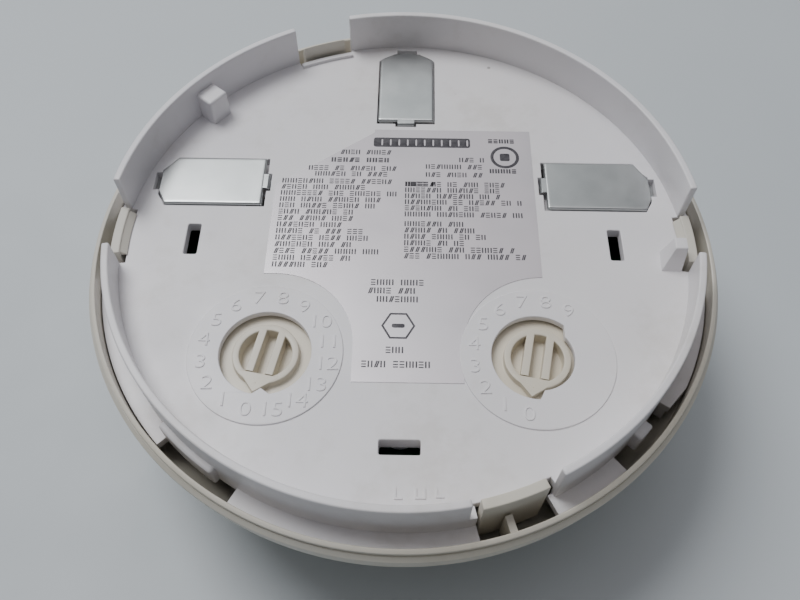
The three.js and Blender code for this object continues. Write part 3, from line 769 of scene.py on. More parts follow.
def front_cover():
    """Revolved shell: outer and inner lines at every column's angle, with the vent cells left out."""
    outer_line, inner_line, first_vent_row = cover_profiles()
    angle, window = cover_columns()
    rows = len(outer_line)

    def around(line):
        r, z = line[:, :1], line[:, 1:]
        return np.stack([r * np.cos(angle), r * np.sin(angle), z + 0 * angle], -1)

    keep = np.ones((rows - 1, len(angle)), bool)
    for i, is_open in enumerate(VENT_OPEN):
        if is_open:
            keep[first_vent_row + i, window] = False
    shell = pierced_shell(around(outer_line), around(inner_line), keep, ends_in_a_point=True)
    shell = combine(shell, [front_tab_web(), *flange_rests()])
    drill = turned([(0, 12), (LIGHT_HOLE_RADIUS, 12), (LIGHT_HOLE_RADIUS, 20), (0, 20)], 32)
    drills = [moved(drill, side * LIGHT_PIPE_X) for side in (-1, 1)]
    return combine(shell, drills, "DIFFERENCE")


piece("front_cover", front_cover(), IVORY, "cover", "cover", sharp=28)


def release_tab(middle, width, height, slope, lip_end):
    """A snap arm: a rounded section carried along a short arc, its top level or sloping down outward.

    A thin ramp that laps over the plate's edge runs from lip_end to the arm's far end, if there is one."""
    top, start, end = PLATE_TOP + height, middle - width / 2, middle + width / 2
    section = [(TAB_INNER, TAB_BOTTOM), (TAB_OUTER, TAB_BOTTOM), (TAB_OUTER, top - slope), (TAB_INNER, top)]
    arm = eased(arc_bar(filleted(section, 0.22, 3), start, end, 1.0), 0.25, 3, 50)
    if lip_end is None:
        return arm
    ramp = [(TAB_INNER + 0.4, PLATE_TOP + 0.14), (TAB_INNER + 0.7, top - 0.06), (TAB_INNER + 0.2, top - 0.1),
            (TAB_INNER - 0.9, PLATE_TOP + 0.3), (TAB_INNER - 0.95, PLATE_TOP + 0.14)]
    return combine(arm, [eased(arc_bar(ramp[::-1], lip_end, end - 0.4, 1.0), 0.06, 2, 50)])


for tab_name, tab_shape in RELEASE_TABS.items():
    piece(f"{tab_name}_arm", release_tab(*tab_shape), IVORY, tab_name, tab_name)


# ---- housing -------------------------------------------------------------------------------


def clip_edges(corners):
    """The clip's two long edges: x along the clip, then y of the -Y edge and y of the +Y edge at each x.

    corners gives how far each outer corner is cut back along and across the clip; None rounds the end."""
    middle, far_end = np.linspace(0.8, CLIP_LENGTH - 3, 18), np.linspace(CLIP_LENGTH - 2.8, CLIP_LENGTH, 15)
    along = np.r_[0, 0.06, 0.15, 0.28, 0.45, middle, far_end]
    if corners is None:
        past = np.clip((along - (CLIP_LENGTH - 1.9)) / 1.9, 0, 1)
        half = CLIP_HALF * np.sqrt(np.clip(1 - 0.93 * past**1.15, 0, 1))
        return along, -half, half
    edges = []
    for back, inward in corners:
        stations = [0, CLIP_LENGTH - back, CLIP_LENGTH]
        edges.append(np.interp(along, stations, [CLIP_HALF, CLIP_HALF, CLIP_HALF - inward]))
    return along, -edges[0], edges[1]


def clip_outline(margin, corners):
    """The clip's flat outline with hooks at both ends, grown by a margin, a little more at its inner end."""
    along, low, high = clip_edges(corners)
    hook = CLIP_HOOK_HALF + margin
    grown_x = np.r_[-0.45, along[6:-4], CLIP_LENGTH + margin]
    low_y = np.r_[low[0], low[6:-4], min(low[-1], -hook - 0.2)] - margin
    high_y = np.r_[high[0], high[6:-4], max(high[-1], hook + 0.2)] + margin
    start, end = CLIP_LENGTH + margin, CLIP_LENGTH + 1.2
    outer_hook = [(start, -hook), (end, -hook), (end, hook), (start, hook)]
    inner_hook = [(-0.45, hook), (-1.15, hook), (-1.15, -hook), (-0.45, -hook)]
    low_edge = np.stack([grown_x, low_y], -1)
    high_edge = np.stack([grown_x, high_y], -1)
    return np.vstack([low_edge, outer_hook, high_edge[::-1], inner_hook])


def pocket_floor(x, y, turn, corners):
    """The shallow floor under a clip, open at the leg's corner and in a narrow slit along that edge."""
    slit, edge = CLIP_HALF - 0.5, CLIP_HALF + 0.18
    leg_hole = [(-0.35, 2.0), (3.0, 2.0), (3.0, slit), (8.4, slit), (8.4, edge), (-0.35, edge)]
    outlines = [placed(clip_outline(0.3, corners), x, y, turn), placed(np.array(leg_hole), x, y, turn)]
    return plate(outlines, PLATE_UNDER + 0.1, PLATE_TOP - 1.45, 0.05)


def placed(points, x, y, turn):
    """Flat points turned by degrees and moved."""
    c, s = math.cos(math.radians(turn)), math.sin(math.radians(turn))
    return points @ np.array([(c, s), (-s, c)]) + (x, y)


def tens_hole():
    """A circle with a V-shaped stop between 15 and 0."""
    circle = arc_points((0, 0), DIAL_HOLE, -79.2, 259.2, 3)
    return np.vstack([circle, [(0, -5.85)]]) + (-DIAL_X, DIAL_Y)


def ones_hole():
    """Wide over the ten digits, narrow over the rest."""
    stop_x = 4.3
    last = math.degrees(math.acos(stop_x / DIAL_HOLE))
    small = math.degrees(math.acos(stop_x / DIAL_SMALL))
    wide = arc_points((0, 0), DIAL_HOLE, 269.2, last, 3)
    narrow = arc_points((0, 0), DIAL_SMALL, small, -83.6, 3)
    return np.vstack([wide, narrow]) + (DIAL_X, DIAL_Y)


def slot_outline(width, height, x, y):
    return filleted([(-width / 2, -height / 2), (width / 2, -height / 2), (width / 2, height / 2),
                     (-width / 2, height / 2)], 0.3, 2) + (x, y)


def plate_outline():
    """A circle that steps in behind each release tab."""
    gaps = sorted((start % 360, start % 360 + (end - start)) for start, end in TAB_GAPS)
    following = [start for start, _ in gaps[1:]] + [gaps[0][0] + 360]
    parts = []
    for (start, end), next_start in zip(gaps, following):
        parts.append(arc_points((0, 0), TAB_GAP_RADIUS, start, end, 2))
        parts.append(arc_points((0, 0), PLATE_RADIUS, end, next_start, 2))
    return np.vstack(parts)


def polar(radius, degrees):
    return radius * math.cos(math.radians(degrees)), radius * math.sin(math.radians(degrees))


def circle(x, y, radius, step=3.0):
    return arc_points((x, y), radius, 0, 360 - step, step)


def housing_plate():
    """The plate with its slots and clip windows, and a wide hole under each dial disc."""
    width, height, x, y = SIDE_SLOT
    holes = [slot_outline(width, height, side * x, y) for side in (-1, 1)]
    holes.append(slot_outline(*FRONT_SLOT))
    holes += [placed(clip_outline(0.2, corners), x, y, turn) for x, y, turn, corners in CLIP_PLACES.values()]
    holes += [circle(side * DIAL_X, DIAL_Y, KNOB_DISC_RADIUS + 0.4) for side in (-1, 1)]
    return plate([plate_outline(), *holes], PLATE_UNDER, PLATE_TOP, 0.18)


def dial_discs():
    """The two flat discs that stand a little proud of the plate, each with its dial's hole."""
    bottom = DIAL_FACE - DIAL_WALL
    return [plate([circle(side * DIAL_X, DIAL_Y, DIAL_RING), hole], bottom, DIAL_FACE, 0.12)
            for side, hole in ((-1, tens_hole()), (1, ones_hole()))]


def between(spans):
    """The arcs left over between the given spans, going once round."""
    ordered = sorted((a % 360, a % 360 + (b - a)) for a, b in spans)
    following = ordered[1:] + [(ordered[0][0] + 360, 0)]
    return [(end, start) for (_, end), (start, _) in zip(ordered, following)]


def wall_arcs():
    """The low wall between the tab gaps and the taller one round the rear."""
    arcs = []
    for start, end in between(TAB_GAPS):
        top = TALL_WALL_TOP if 5 < start % 360 < 170 else LOW_WALL_TOP
        arc = arc_bar(box_section(WALL_INNER, WALL_OUTER, FLANGE_BOTTOM, top), start, end)
        arcs.append(eased(arc, 0.28, 3, 50))
    return arcs


def flange_arcs():
    """The rim that the cover closes on, left out at the openings, narrowing towards one of them."""
    relief_outline = np.vstack([arc_points((0, 0), 52, -36, -29, 1), [polar(FLANGE_RADIUS + 0.1, -29)],
                                [polar(48.4, -36)]])
    relief = prisms([relief_outline], FLANGE_BOTTOM - 6, FLANGE_TOP + 1)
    skirt = arc_bar(box_section(46.9, 48.2, 24.9, FLANGE_BOTTOM + 0.4), -34.7, -33.4)
    openings = (REAR_TAB_GAP, LEFT_TAB_GAP, RIGHT_TAB_GAP, FRONT_FLANGE_GAP, *LUG_OPENINGS)
    section = box_section(46.0, FLANGE_RADIUS, FLANGE_BOTTOM, FLANGE_TOP)
    arcs = [arc_bar(section, *span) for span in between(openings)]
    arcs = [eased(combine(arc, [relief], "DIFFERENCE"), 0.14, 2, 50) for arc in arcs]
    return [*arcs, skirt]


def low_wall_end():
    """The end of the wall beside the front tab, cut down to the plate's level."""
    return eased(arc_bar(box_section(45.0, WALL_OUTER, FLANGE_BOTTOM, PLATE_TOP), -78.6, -76.9), 0.12, 2, 50)


def slot_collar():
    """Walls that carry the front slot further down under the plate."""
    width, height, x, y = FRONT_SLOT
    loops = [slot_outline(width + 1.5, height + 1.5, x, y), slot_outline(width, height, x, y)]
    return plate(loops, PLATE_UNDER - 1.0, PLATE_UNDER + 0.3, 0.05, 1)


def maker_marks():
    """Small raised strokes near the front edge, left by the mould."""
    strokes = [(-0.6, -43.2, 0.25, 1.7), (-0.5, -43.2, 1.0, 0.25), (2.2, -43.1, 0.25, 1.5),
               (2.3, -43.1, 1.2, 0.25), (3.4, -43.1, 0.25, 1.5), (5.0, -42.9, 0.25, 1.4),
               (5.1, -42.9, 1.0, 0.25)]
    low, high = PLATE_TOP - 0.1, PLATE_TOP + 0.2
    return [cuboid(x, x + across, y, y + along, low, high) for x, y, across, along in strokes]


def lug(start, end, outer):
    """A bayonet lug with well-rounded outer corners."""
    section = box_section(WALL_OUTER - 0.5, outer, FLANGE_BOTTOM + 0.5, PLATE_TOP)
    return eased(arc_bar(section, start, end, 1.0), 0.45, 4, 60)


def gusset():
    """A wedge beside the right tab: four slopes joined between a wide foot and a narrow top."""
    foot = [(40.9, -5.7), (44.3, -5.7), (44.3, -1.6), (41.2, -1.6)]
    top = [(42.3, -4.2), (44.3, -4.2), (44.3, -2.1), (42.4, -2.1)]
    levels = [(*p, PLATE_TOP - 0.4) for p in foot] + [(*p, PLATE_TOP + 4.4) for p in top]
    faces = [*grid_quads(2, 4, wrap_columns=True), np.arange(4)[::-1], np.arange(4) + 4]
    return eased(make_mesh(levels, faces), 0.22, 2)


def key_block():
    body = cuboid(42.0, 45.8, -2.0, 2.0, PLATE_TOP - 0.5, PLATE_TOP + 5.0)
    return moved(eased(body, 0.45, 3), turn=141.5)


def bosses():
    """Posts under the plate that the board's screws bite into, each with a blind hole."""
    hole_top, bottom, top = 29.6, BOARD_TOP + 0.3, PLATE_UNDER + 0.3
    profile = [(0, hole_top), (1.1, hole_top), (1.1, bottom), (2.6, bottom), (2.6, top), (0, top)]
    return [moved(turned(profile, 32), x, y) for x, y in BOSS_PLACES]


def tab_gap_lip():
    """A low ridge on the plate in front of the rear tab."""
    ridge = box_section(TAB_GAP_RADIUS - 0.9, TAB_GAP_RADIUS, PLATE_TOP - 0.5, PLATE_TOP + 0.6)
    section = filleted(ridge, 0.2, 2)
    return eased(arc_bar(section, *REAR_TAB_GAP), 0.15, 2, 60)


def housing_shell():
    parts = [*wall_arcs(), *flange_arcs(), *dial_discs(), *bosses(), tab_gap_lip(), low_wall_end()]
    parts += [slot_collar(), *maker_marks()]
    parts += [gusset(), key_block(), *[pocket_floor(*place) for place in CLIP_PLACES.values()]]
    parts += [lug(*span) for span in LUGS]
    return combine(housing_plate(), parts)


piece("back_housing", housing_shell(), WHITE, "housing", "housing")


# ---- dial scales ---------------------------------------------------------------------------


def raised_digits(body, x, y):
    """Digits standing proud of the disc: the font's outline thinned, lifted, rounded and widened."""
    curve = bpy.data.curves.new("work", "FONT")
    curve.body = body
    curve.size = DIGIT_HEIGHT / CAPITAL_SHARE
    curve.align_x = "CENTER"
    curve.align_y = "CENTER"
    curve.space_character = 0.92
    curve.resolution_u = 4
    curve.extrude = DIGIT_RISE - DIGIT_ROUNDING
    curve.bevel_depth = DIGIT_ROUNDING
    curve.bevel_resolution = 1
    curve.offset = -DIGIT_THINNING
    mesh = curve_mesh(curve, 0)
    mesh.transform(Matrix.Diagonal((DIGIT_STRETCH, 1, 1, 1)))
    return moved(mesh, x, y, DIAL_FACE)


def dial_scale(centre_x, count):
    """The digits round a dial, clockwise from 0 in equal steps, all upright."""
    parts = []
    for number in range(count):
        angle = math.radians(DIAL_ZERO - DIGIT_STEP * number)
        x = centre_x + DIGIT_RADIUS * math.cos(angle)
        parts.append(raised_digits(str(number), x, DIAL_Y + DIGIT_RADIUS * math.sin(angle)))
    return together(parts)


piece("tens_scale", dial_scale(-DIAL_X, 16), WHITE, "housing", sharp=60)
piece("ones_scale", dial_scale(DIAL_X, 10), WHITE, "housing", sharp=60)


# ---- address dials ---------------------------------------------------------------------------


def dial_knob(centre_x):
    """A turned disc with a raised cup, two grip ribs across it and a flat arrow that points to the digit."""
    shaft, shaft_end = 2.0, 26.4
    rim_outer, rim_inner, chord = 5.0, 3.95, 3.35
    line = filleted([(shaft, shaft_end), (shaft, KNOB_DISC_BOTTOM), (KNOB_DISC_RADIUS, KNOB_DISC_BOTTOM),
                     (KNOB_DISC_RADIUS, KNOB_DISC_TOP), (rim_outer, KNOB_DISC_TOP), (rim_outer, KNOB_TOP),
                     (rim_inner, KNOB_TOP), (rim_inner, KNOB_FLOOR)], 0.2, 3)
    body = turned([(0, shaft_end), *line, (0, KNOB_FLOOR)], 72)
    rib = filleted([(-0.64, KNOB_FLOOR - 0.2), (0.64, KNOB_FLOOR - 0.2), (0.6, KNOB_TOP), (-0.6, KNOB_TOP)],
                   0.16, 3)
    bar = swept(rib, [(-4.3, 0, 0), (chord - 0.12, 0, 0)], (0, -1, 0), (0, 0, 1))
    grips = [moved(bar, y=side * 1.5) for side in (-1, 1)]
    base = math.radians(33)
    corner = (4.75 * math.cos(base), 4.75 * math.sin(base))
    arrow = [(chord, -3.2), (corner[0], -corner[1]), (6.45, 0), corner, (chord, 3.2)]
    arrow = eased(prisms([arrow], KNOB_FLOOR - 0.2, KNOB_TOP + 0.02), 0.14, 2)
    dimple = turned([(0, KNOB_TOP - 0.12), (0.28, KNOB_TOP + 0.3), (0, KNOB_TOP + 0.3)], 16)
    knob = combine(body, [*grips, arrow])
    knob = combine(knob, [moved(dimple, 5.0)], "DIFFERENCE")
    return moved(knob, centre_x, DIAL_Y, turn=DIAL_ZERO)


for dial, centre in (("tens", -DIAL_X), ("ones", DIAL_X)):
    piece(f"{dial}_knob", dial_knob(centre), DIAL_IVORY, f"{dial}_dial", f"{dial}_dial")


# ---- contact clips -----------------------------------------------------------------------------


def folded_strip(line, half_width, thickness):
    """A bent strip: its side line, thickened downward, carried across the strip's width."""
    line = np.asarray(line, float)
    side = np.vstack([line, line[::-1] - (0, thickness)])
    return eased(swept(side, [(0, -half_width, 0), (0, half_width, 0)], (1, 0, 0), (0, 0, 1)), 0.08, 2)


def contact_clip(x, y, turn, corners):
    """A pressed sheet: flat in the middle, its long edges and inner end rolled down a quarter circle."""
    thickness, fold = 0.25, 0.32
    along, low, high = clip_edges(corners)
    share = np.r_[0, 0.004, 0.012, 0.024, 0.042, np.linspace(0.08, 0.92, 13), 0.958, 0.976, 0.988, 0.996, 1]
    grid_y = low[:, None] + (high - low)[:, None] * share
    to_edge = np.minimum(grid_y - low[:, None], high[:, None] - grid_y)
    side_fold = np.clip(1 - to_edge / fold, 0, 1)
    end_fold = np.clip(1 - along / fold, 0, 1)[:, None] + 0 * side_fold
    fold_share = np.clip(np.hypot(side_fold, end_fold), 0, 1)
    past_bend = np.clip((along - 13.6) / 3.8, 0, 1)[:, None]
    drop = fold * (1 - np.sqrt(1 - fold_share**2)) + 0.12 * past_bend**2
    top = np.stack([along[:, None] + 0 * grid_y, grid_y, CLIP_TOP - drop], -1)
    below = top - (0, 0, thickness)
    rows, columns = grid_y.shape
    quads = grid_quads(rows, columns)
    ring = np.r_[np.arange(columns), np.arange(1, rows) * columns + columns - 1,
                 np.arange(columns - 2, -1, -1) + (rows - 1) * columns, np.arange(rows - 2, 0, -1) * columns]
    after = np.roll(ring, -1)
    offset = rows * columns
    sides = np.stack([ring, after, after + offset, ring + offset], -1)
    faces = [*quads, *(quads[:, ::-1] + offset), *sides[:, ::-1]]
    sheet = make_mesh(np.vstack([top.reshape(-1, 3), below.reshape(-1, 3)]), faces)
    leg_middle, top_z = CLIP_HALF - 1.45, CLIP_TOP
    leg = cuboid(0.0, 0.4, -1.2, 1.2, 27.2, top_z - 0.3)
    foot = cuboid(0.05, 2.6, -1.2, 1.2, 27.2, 27.7)
    hook_in = folded_strip([(-0.95, top_z - 0.75), (-0.9, top_z - 0.3), (-0.65, top_z - 0.08),
                            (0.6, top_z - 0.06)], CLIP_HOOK_HALF - 0.15, 0.34)
    hook_out = folded_strip([(CLIP_LENGTH - 0.7, top_z - 0.17), (CLIP_LENGTH - 0.1, top_z - 0.2),
                             (CLIP_LENGTH + 0.3, top_z - 0.7), (CLIP_LENGTH + 0.6, top_z - 1.25),
                             (CLIP_LENGTH + 1.05, top_z - 1.4)], CLIP_HOOK_HALF - 0.15, 0.34)
    legs = [moved(eased(part, 0.1, 2), y=leg_middle) for part in (leg, foot)]
    return moved(combine(sheet, [*legs, hook_in, hook_out]), x, y, turn=turn)


for clip_name, clip_place in CLIP_PLACES.items():
    piece(f"{clip_name}_sheet", contact_clip(*clip_place), TINNED, clip_name, clip_name)


# ---- rating label --------------------------------------------------------------------------------


def label_outline():
    left_centre = (-20.0, LABEL_SHOULDER - LABEL_ARC)
    right_centre = (LABEL_HALF, LABEL_SHOULDER - LABEL_ARC)
    return np.vstack([
        [(LABEL_HALF, LABEL_TOP), (-5.5, LABEL_TOP), (-5.5, 23.2)],
        [(-LABEL_HALF, 10.8), (-LABEL_HALF, LABEL_SHOULDER)],
        arc_points(left_centre, LABEL_ARC, 90, 0, 4),
        [(left_centre[0] + LABEL_ARC, LABEL_BOTTOM), (right_centre[0] - LABEL_ARC, LABEL_BOTTOM)],
        arc_points(right_centre, LABEL_ARC, 180, 90, 4),
    ])


LABEL_BASE = PLATE_TOP + 0.01
LABEL_FACE = PLATE_TOP + 0.10
label_sheet = plate([label_outline()], LABEL_BASE, LABEL_FACE, 0.02, 1)
piece("label_sheet", label_sheet, LABEL, "housing", "rating_label")


def stroke_cells(left, base, width, height, bold, rng):
    """One line of blank type as stroke outlines: words of a few cells, each cell two or three strokes.

    Cells hold upright pairs, level threes or slanted pairs: they have the grey of print and say nothing."""
    cell = height * (1.0 if bold else 0.88)
    count = int(width / cell)
    stop = np.cumsum(rng.integers(3, 9, count))
    columns = np.array([i for i in range(count) if i not in set(stop.tolist())])
    x = left + columns * cell
    kind = rng.integers(0, 4, len(x))
    pen = height * (0.31 if bold else 0.22)
    wide = cell * 0.78
    parts = []
    upright = x[kind <= 1]
    parts += [boxes(upright + shift, upright + shift + pen, base, base + height) for shift in (0, wide - pen)]
    level = x[kind == 2]
    parts += [boxes(level, level + wide, base + rise, base + rise + pen * 0.8)
              for rise in (0, (height - pen) / 2, height - pen * 0.8)]
    slanted = x[kind == 3]
    parts += [boxes(slanted + shift, slanted + shift + pen, base, base + height, wide * 0.45)
              for shift in (0, wide * 0.4)]
    return np.vstack(parts)


# left edge, base of the first line, line pitch, then each line's width
LEFT_COLUMN = (-20.9, 11.35, 1.33, (19.2, 15.2, 19.8, 17.8, 17.0, 14.2, 13.0, 11.2, 15.2, 15.8, 13.0, 17.4,
                                    13.4, 10.2))
RIGHT_COLUMN = (0.1, 10.95, 1.29, (17.6, 16.9, 17.0, 20.2, 13.2, 20.6))
RIGHT_LOWER = (0.1, 2.5, 1.29, (10.6, 11.8, 15.0, 10.2, 18.0, 20.2))
# right edge, base, width, and whether it is bold
RIGHT_ALIGNED = ((-1.7, 18.0, 9.6, False), (-2.0, 16.2, 10.8, True), (-1.0, 14.3, 15.6, False),
                 (-2.0, 13.0, 13.4, False), (14.2, 16.5, 4.8, False), (14.2, 14.9, 10.6, False),
                 (14.2, 13.1, 10.6, False))
# middle, base and width
CENTRED = ((-0.7, -9.1, 8.6), (-0.7, -10.65, 9.4), (-0.7, -12.2, 6.6), (-0.6, -21.1, 3.5),
           (-0.4, -23.5, 11.0))
MARK_X, MARK_Y = 17.35, 17.75
HEXAGON_X, HEXAGON_Y = -0.55, -16.4
TYPE_HEIGHT = 1.02


def label_print():
    """Everything printed on the label: blank type, a plain bar, a ringed square and a hexagon."""
    rng = np.random.default_rng(7)
    rows = []
    for left, top, pitch, widths in (LEFT_COLUMN, RIGHT_COLUMN, RIGHT_LOWER):
        for i, width in enumerate(widths):
            rows.append(stroke_cells(left, top - i * pitch, width, TYPE_HEIGHT, False, rng))
    for right, base, width, bold in RIGHT_ALIGNED:
        rows.append(stroke_cells(right - width, base, width, TYPE_HEIGHT, bold, rng))
    for middle, base, width in CENTRED:
        rows.append(stroke_cells(middle - width / 2, base, width, TYPE_HEIGHT * 1.05, False, rng))
    rows.append(stroke_cells(0.15, 10.95, 5.8, TYPE_HEIGHT, True, rng))
    for base in (21.0, 14.1):
        rows.append(stroke_cells(14.6, base, 5.6, 0.95, True, rng))
    strokes = np.vstack(rows)
    top = LABEL_FACE + 0.015
    bar = filleted([(-5.6, 19.8), (11.4, 19.8), (11.4, 22.0), (-5.6, 22.0)], 0.5, 3)
    cuts = [slot_outline(0.28, 1.5, x, 20.9) for x in np.arange(-4.1, 11, 1.5)]
    flat = [plate([bar, *cuts], LABEL_BASE, top, 0.004, 1)]
    ring = [circle(MARK_X, MARK_Y, radius) for radius in (2.5, 1.95)]
    square = slot_outline(1.7, 1.7, MARK_X, MARK_Y)
    flat.append(plate([*ring, square], LABEL_BASE, top, 0.004, 1))
    hexagons = [arc_points((HEXAGON_X, HEXAGON_Y), radius, 0, 300, 60) for radius in (2.6, 2.25)]
    flat.append(plate([*hexagons, slot_outline(2.0, 0.7, HEXAGON_X, HEXAGON_Y)], LABEL_BASE, top, 0.004, 1))
    return together([prisms(strokes, LABEL_BASE, top), *flat])


piece("label_print", label_print(), INK, "housing")


# ---- more finishes for what is inside ---------------------------------------------------


def board_mask():
    """Dark green solder mask: copper areas show through as slightly lighter, straight-edged bands."""
    material, tree, shader, place = start_material("board_mask", (0.008, 0.045, 0.022), 0.32)
    brick = add_node(tree, "ShaderNodeTexBrick", Vector=place, Scale=260.0, Mortar_Size=0.012)
    brick.inputs["Color1"].default_value = (0.008, 0.040, 0.020, 1)
    brick.inputs["Color2"].default_value = (0.012, 0.062, 0.030, 1)
    brick.inputs["Mortar"].default_value = (0.005, 0.022, 0.012, 1)
    tree.links.new(brick.outputs["Color"], shader.inputs["Base Color"])
    tree.links.new(spread(tree, noise(tree, place, 300, 3), 0.26, 0.42), shader.inputs["Roughness"])
    bump(tree, shader, noise(tree, place, 2500, 3), 0.12, 0.00003)
    return material


def tinted_resin(name, color, roughness, transmission):
    """Cast resin that lets light through, with faint swirls."""
    material, tree, shader, place = start_material(name, color, roughness)
    swirl = noise(tree, place, 700, 3)
    tree.links.new(ramp(tree, swirl, [(0.3, shade(color, 0.85)), (0.7, shade(color, 1.1))]),
                   shader.inputs["Base Color"])
    tree.links.new(spread(tree, swirl, roughness, roughness + 0.08), shader.inputs["Roughness"])
    shader.inputs["Transmission Weight"].default_value = transmission
    shader.inputs["IOR"].default_value = 1.52
    bump(tree, shader, noise(tree, place, 1800, 2), 0.04, 0.00002)
    return material


BOARD = board_mask()
BRASS = bare_metal("rolled_brass", (0.62, 0.44, 0.20), 0.3)
SOLDER = bare_metal("solder", (0.62, 0.63, 0.63), 0.26, 600)
ZINC = bare_metal("zinc_plated_steel", (0.50, 0.52, 0.54), 0.32, 500)
CRYSTAL = bare_metal("nickelled_can", (0.56, 0.55, 0.52), 0.3, 400)
ALUMINIUM = bare_metal("drawn_aluminium", (0.66, 0.67, 0.68), 0.3, 400)
SHIELD = bare_metal("shield_tinplate", (0.58, 0.59, 0.60), 0.28, 300)
SCREEN = bare_metal("etched_screen", (0.42, 0.42, 0.41), 0.42, 500)
SLEEVE = moulded_plastic("shrink_sleeve", (0.02, 0.03, 0.08), 0.35)
GLASS = tinted_resin("reed_glass", (0.80, 0.88, 0.84), 0.04, 0.9)
LED_RED = tinted_resin("led_resin", (0.70, 0.05, 0.03), 0.15, 0.35)
PIPE_RED = tinted_resin("light_pipe_resin", (0.62, 0.03, 0.025), 0.1, 0.5)
EMITTER = tinted_resin("emitter_resin", (0.45, 0.50, 0.62), 0.06, 0.6)
RECEIVER = tinted_resin("receiver_resin", (0.10, 0.04, 0.05), 0.08, 0.4)


# ---- circuit board ----------------------------------------------------------------------------

PARTS_BASE = BOARD_TOP + 0.3
REED_Y = 19.5
REED_HEIGHT = BOARD_TOP + 1.6
CAPACITOR_RADIUS = 2.1
CAPACITOR_PLACES = {"filter_capacitor": (-12.0, -34.0), "storage_capacitor": (4.0, -26.5)}
# length, width, height, x and y
PACKAGES = {
    "microcontroller": (9.0, 9.0, 1.4, 0.0, 4.0),
    "bridge_rectifier": (6.0, 5.0, 2.4, 14.0, -2.0),
    "voltage_regulator": (6.4, 4.4, 2.2, -14.0, -2.0),
    "surge_suppressor": (5.0, 3.4, 2.2, 0.0, -14.0),
}
LEAD_COUNTS = {"microcontroller": 8, "bridge_rectifier": 2, "voltage_regulator": 4, "surge_suppressor": 1}


def circuit_board():
    holes = [circle(x, y, 1.3, 12) for x, y in BOSS_PLACES]
    holes += [circle(side * 17.0, y, 0.5, 30) for side in (-1, 1) for y in (-8.0, 10.0)]
    return plate([circle(0, 0, BOARD_RADIUS), *holes], BOARD_BOTTOM, BOARD_TOP, 0.08, 1)


def package(size_x, size_y, height, x, y):
    """A moulded body: three rectangles, widest at the parting line, joined by slopes. Pin 1 has a dimple."""
    levels = ((0.93, 0.0), (1.0, 0.45), (0.9, 1.0))
    points = [(x + sx * size_x / 2 * k, y + sy * size_y / 2 * k, PARTS_BASE + height * h)
              for k, h in levels for sx, sy in ((-1, -1), (1, -1), (1, 1), (-1, 1))]
    faces = [*grid_quads(3, 4, wrap_columns=True), np.arange(4)[::-1], np.arange(4) + 8]
    body = eased(make_mesh(points, faces), 0.09, 2, 30)
    lid = PARTS_BASE + height
    dimple = turned([(0, lid - 0.12), (0.3, lid - 0.1), (0.42, lid + 0.2), (0, lid + 0.2)], 20)
    return combine(body, [moved(dimple, x - size_x * 0.33, y - size_y * 0.3)], "DIFFERENCE")


def lead_row(count, reach, rise, width):
    """Gull-wing leads side by side: a Z-shaped section (out, up) given each lead's width along the row."""
    pitch = width * 2.0
    foot, top = 0.75, rise
    outline = [(-0.2, top), (0.25, top), (0.45, 0.15), (foot + 0.3, 0.12), (foot + 0.3, 0.0), (0.35, 0.0),
               (0.15, top - 0.15), (-0.2, top - 0.15)]
    start = -(count - 1) / 2 * pitch
    middles = [start + i * pitch for i in range(count)]
    row = together([prisms([outline], middle - width / 2, middle + width / 2) for middle in middles])
    row.transform(Matrix.Translation((reach, 0, 0)) @ Matrix.Rotation(math.radians(90), 4, "X"))
    return row


def component_leads():
    leads = []
    for name, (size_x, size_y, height, x, y) in PACKAGES.items():
        count = LEAD_COUNTS[name]
        width = 0.42 if name == "microcontroller" else 0.7 if count == 4 else 1.1
        turns = (0, 90, 180, 270) if name == "microcontroller" else (0, 180)
        for turn in turns:
            row = lead_row(count, size_x / 2, height * 0.45 + 0.3, width)
            leads.append(moved(moved(row, turn=turn), x, y, BOARD_TOP + 0.02))
    return together(leads)


def copper_paths():
    """Raised copper under the mask: bundles of parallel paths, each a run, a 45-degree jog and a run."""
    outlines = []
    one_side = (((5.0, 6.5), 20, 8.0), ((5.0, 0.5), 24, -4.0), ((3.0, -2.0), 9, -22.0),
                ((8.0, 12.0), 18, 9.0))
    bundles = [((side * x, y), side * run, jog) for (x, y), run, jog in one_side for side in (1, -1)]
    for (x, y), run, jog in bundles:
        for i in range(5):
            shift = i * 0.85
            y0, side = y + shift, math.copysign(1.0, run)
            bend = x + run * 0.45
            end = bend + side * abs(jog)
            outlines.append(boxes(min(x, bend), max(x, bend), y0, y0 + 0.3))
            slope = [(bend, y0), (bend + side * 0.02, y0 + 0.3), (end, y0 + jog + 0.3), (end, y0 + jog)]
            outlines.append(np.array([slope if side > 0 else slope[::-1]]))
            last = end + run * 0.35
            outlines.append(boxes(min(end, last), max(end, last), y0 + jog, y0 + jog + 0.3))
    return prisms(np.vstack(outlines), BOARD_TOP - 0.05, BOARD_TOP + 0.035)


def solder_joints():
    """Little cones of solder round each wire on both faces of the board."""
    one_side = ((16.2, -28.0), (24.4, -28.0), (16.2, -14.6), (24.4, -14.6), (9.3, REED_Y), (31.0, 12.0),
                (31.0, 16.0))
    spots = [(side * x, y) for side in (-1, 1) for x, y in one_side]
    cone = [(0, -0.7), (0.35, -0.6), (0.5, -0.25), (1.0, 0.02), (0, 0.02)]
    under = turned(cone, 20)
    over = turned([(r, -z) for r, z in cone[::-1]], 20)
    joints = [moved(under, x, y, BOARD_BOTTOM) for x, y in spots]
    joints += [moved(over, x, y, BOARD_TOP) for x, y in spots]
    return together(joints)


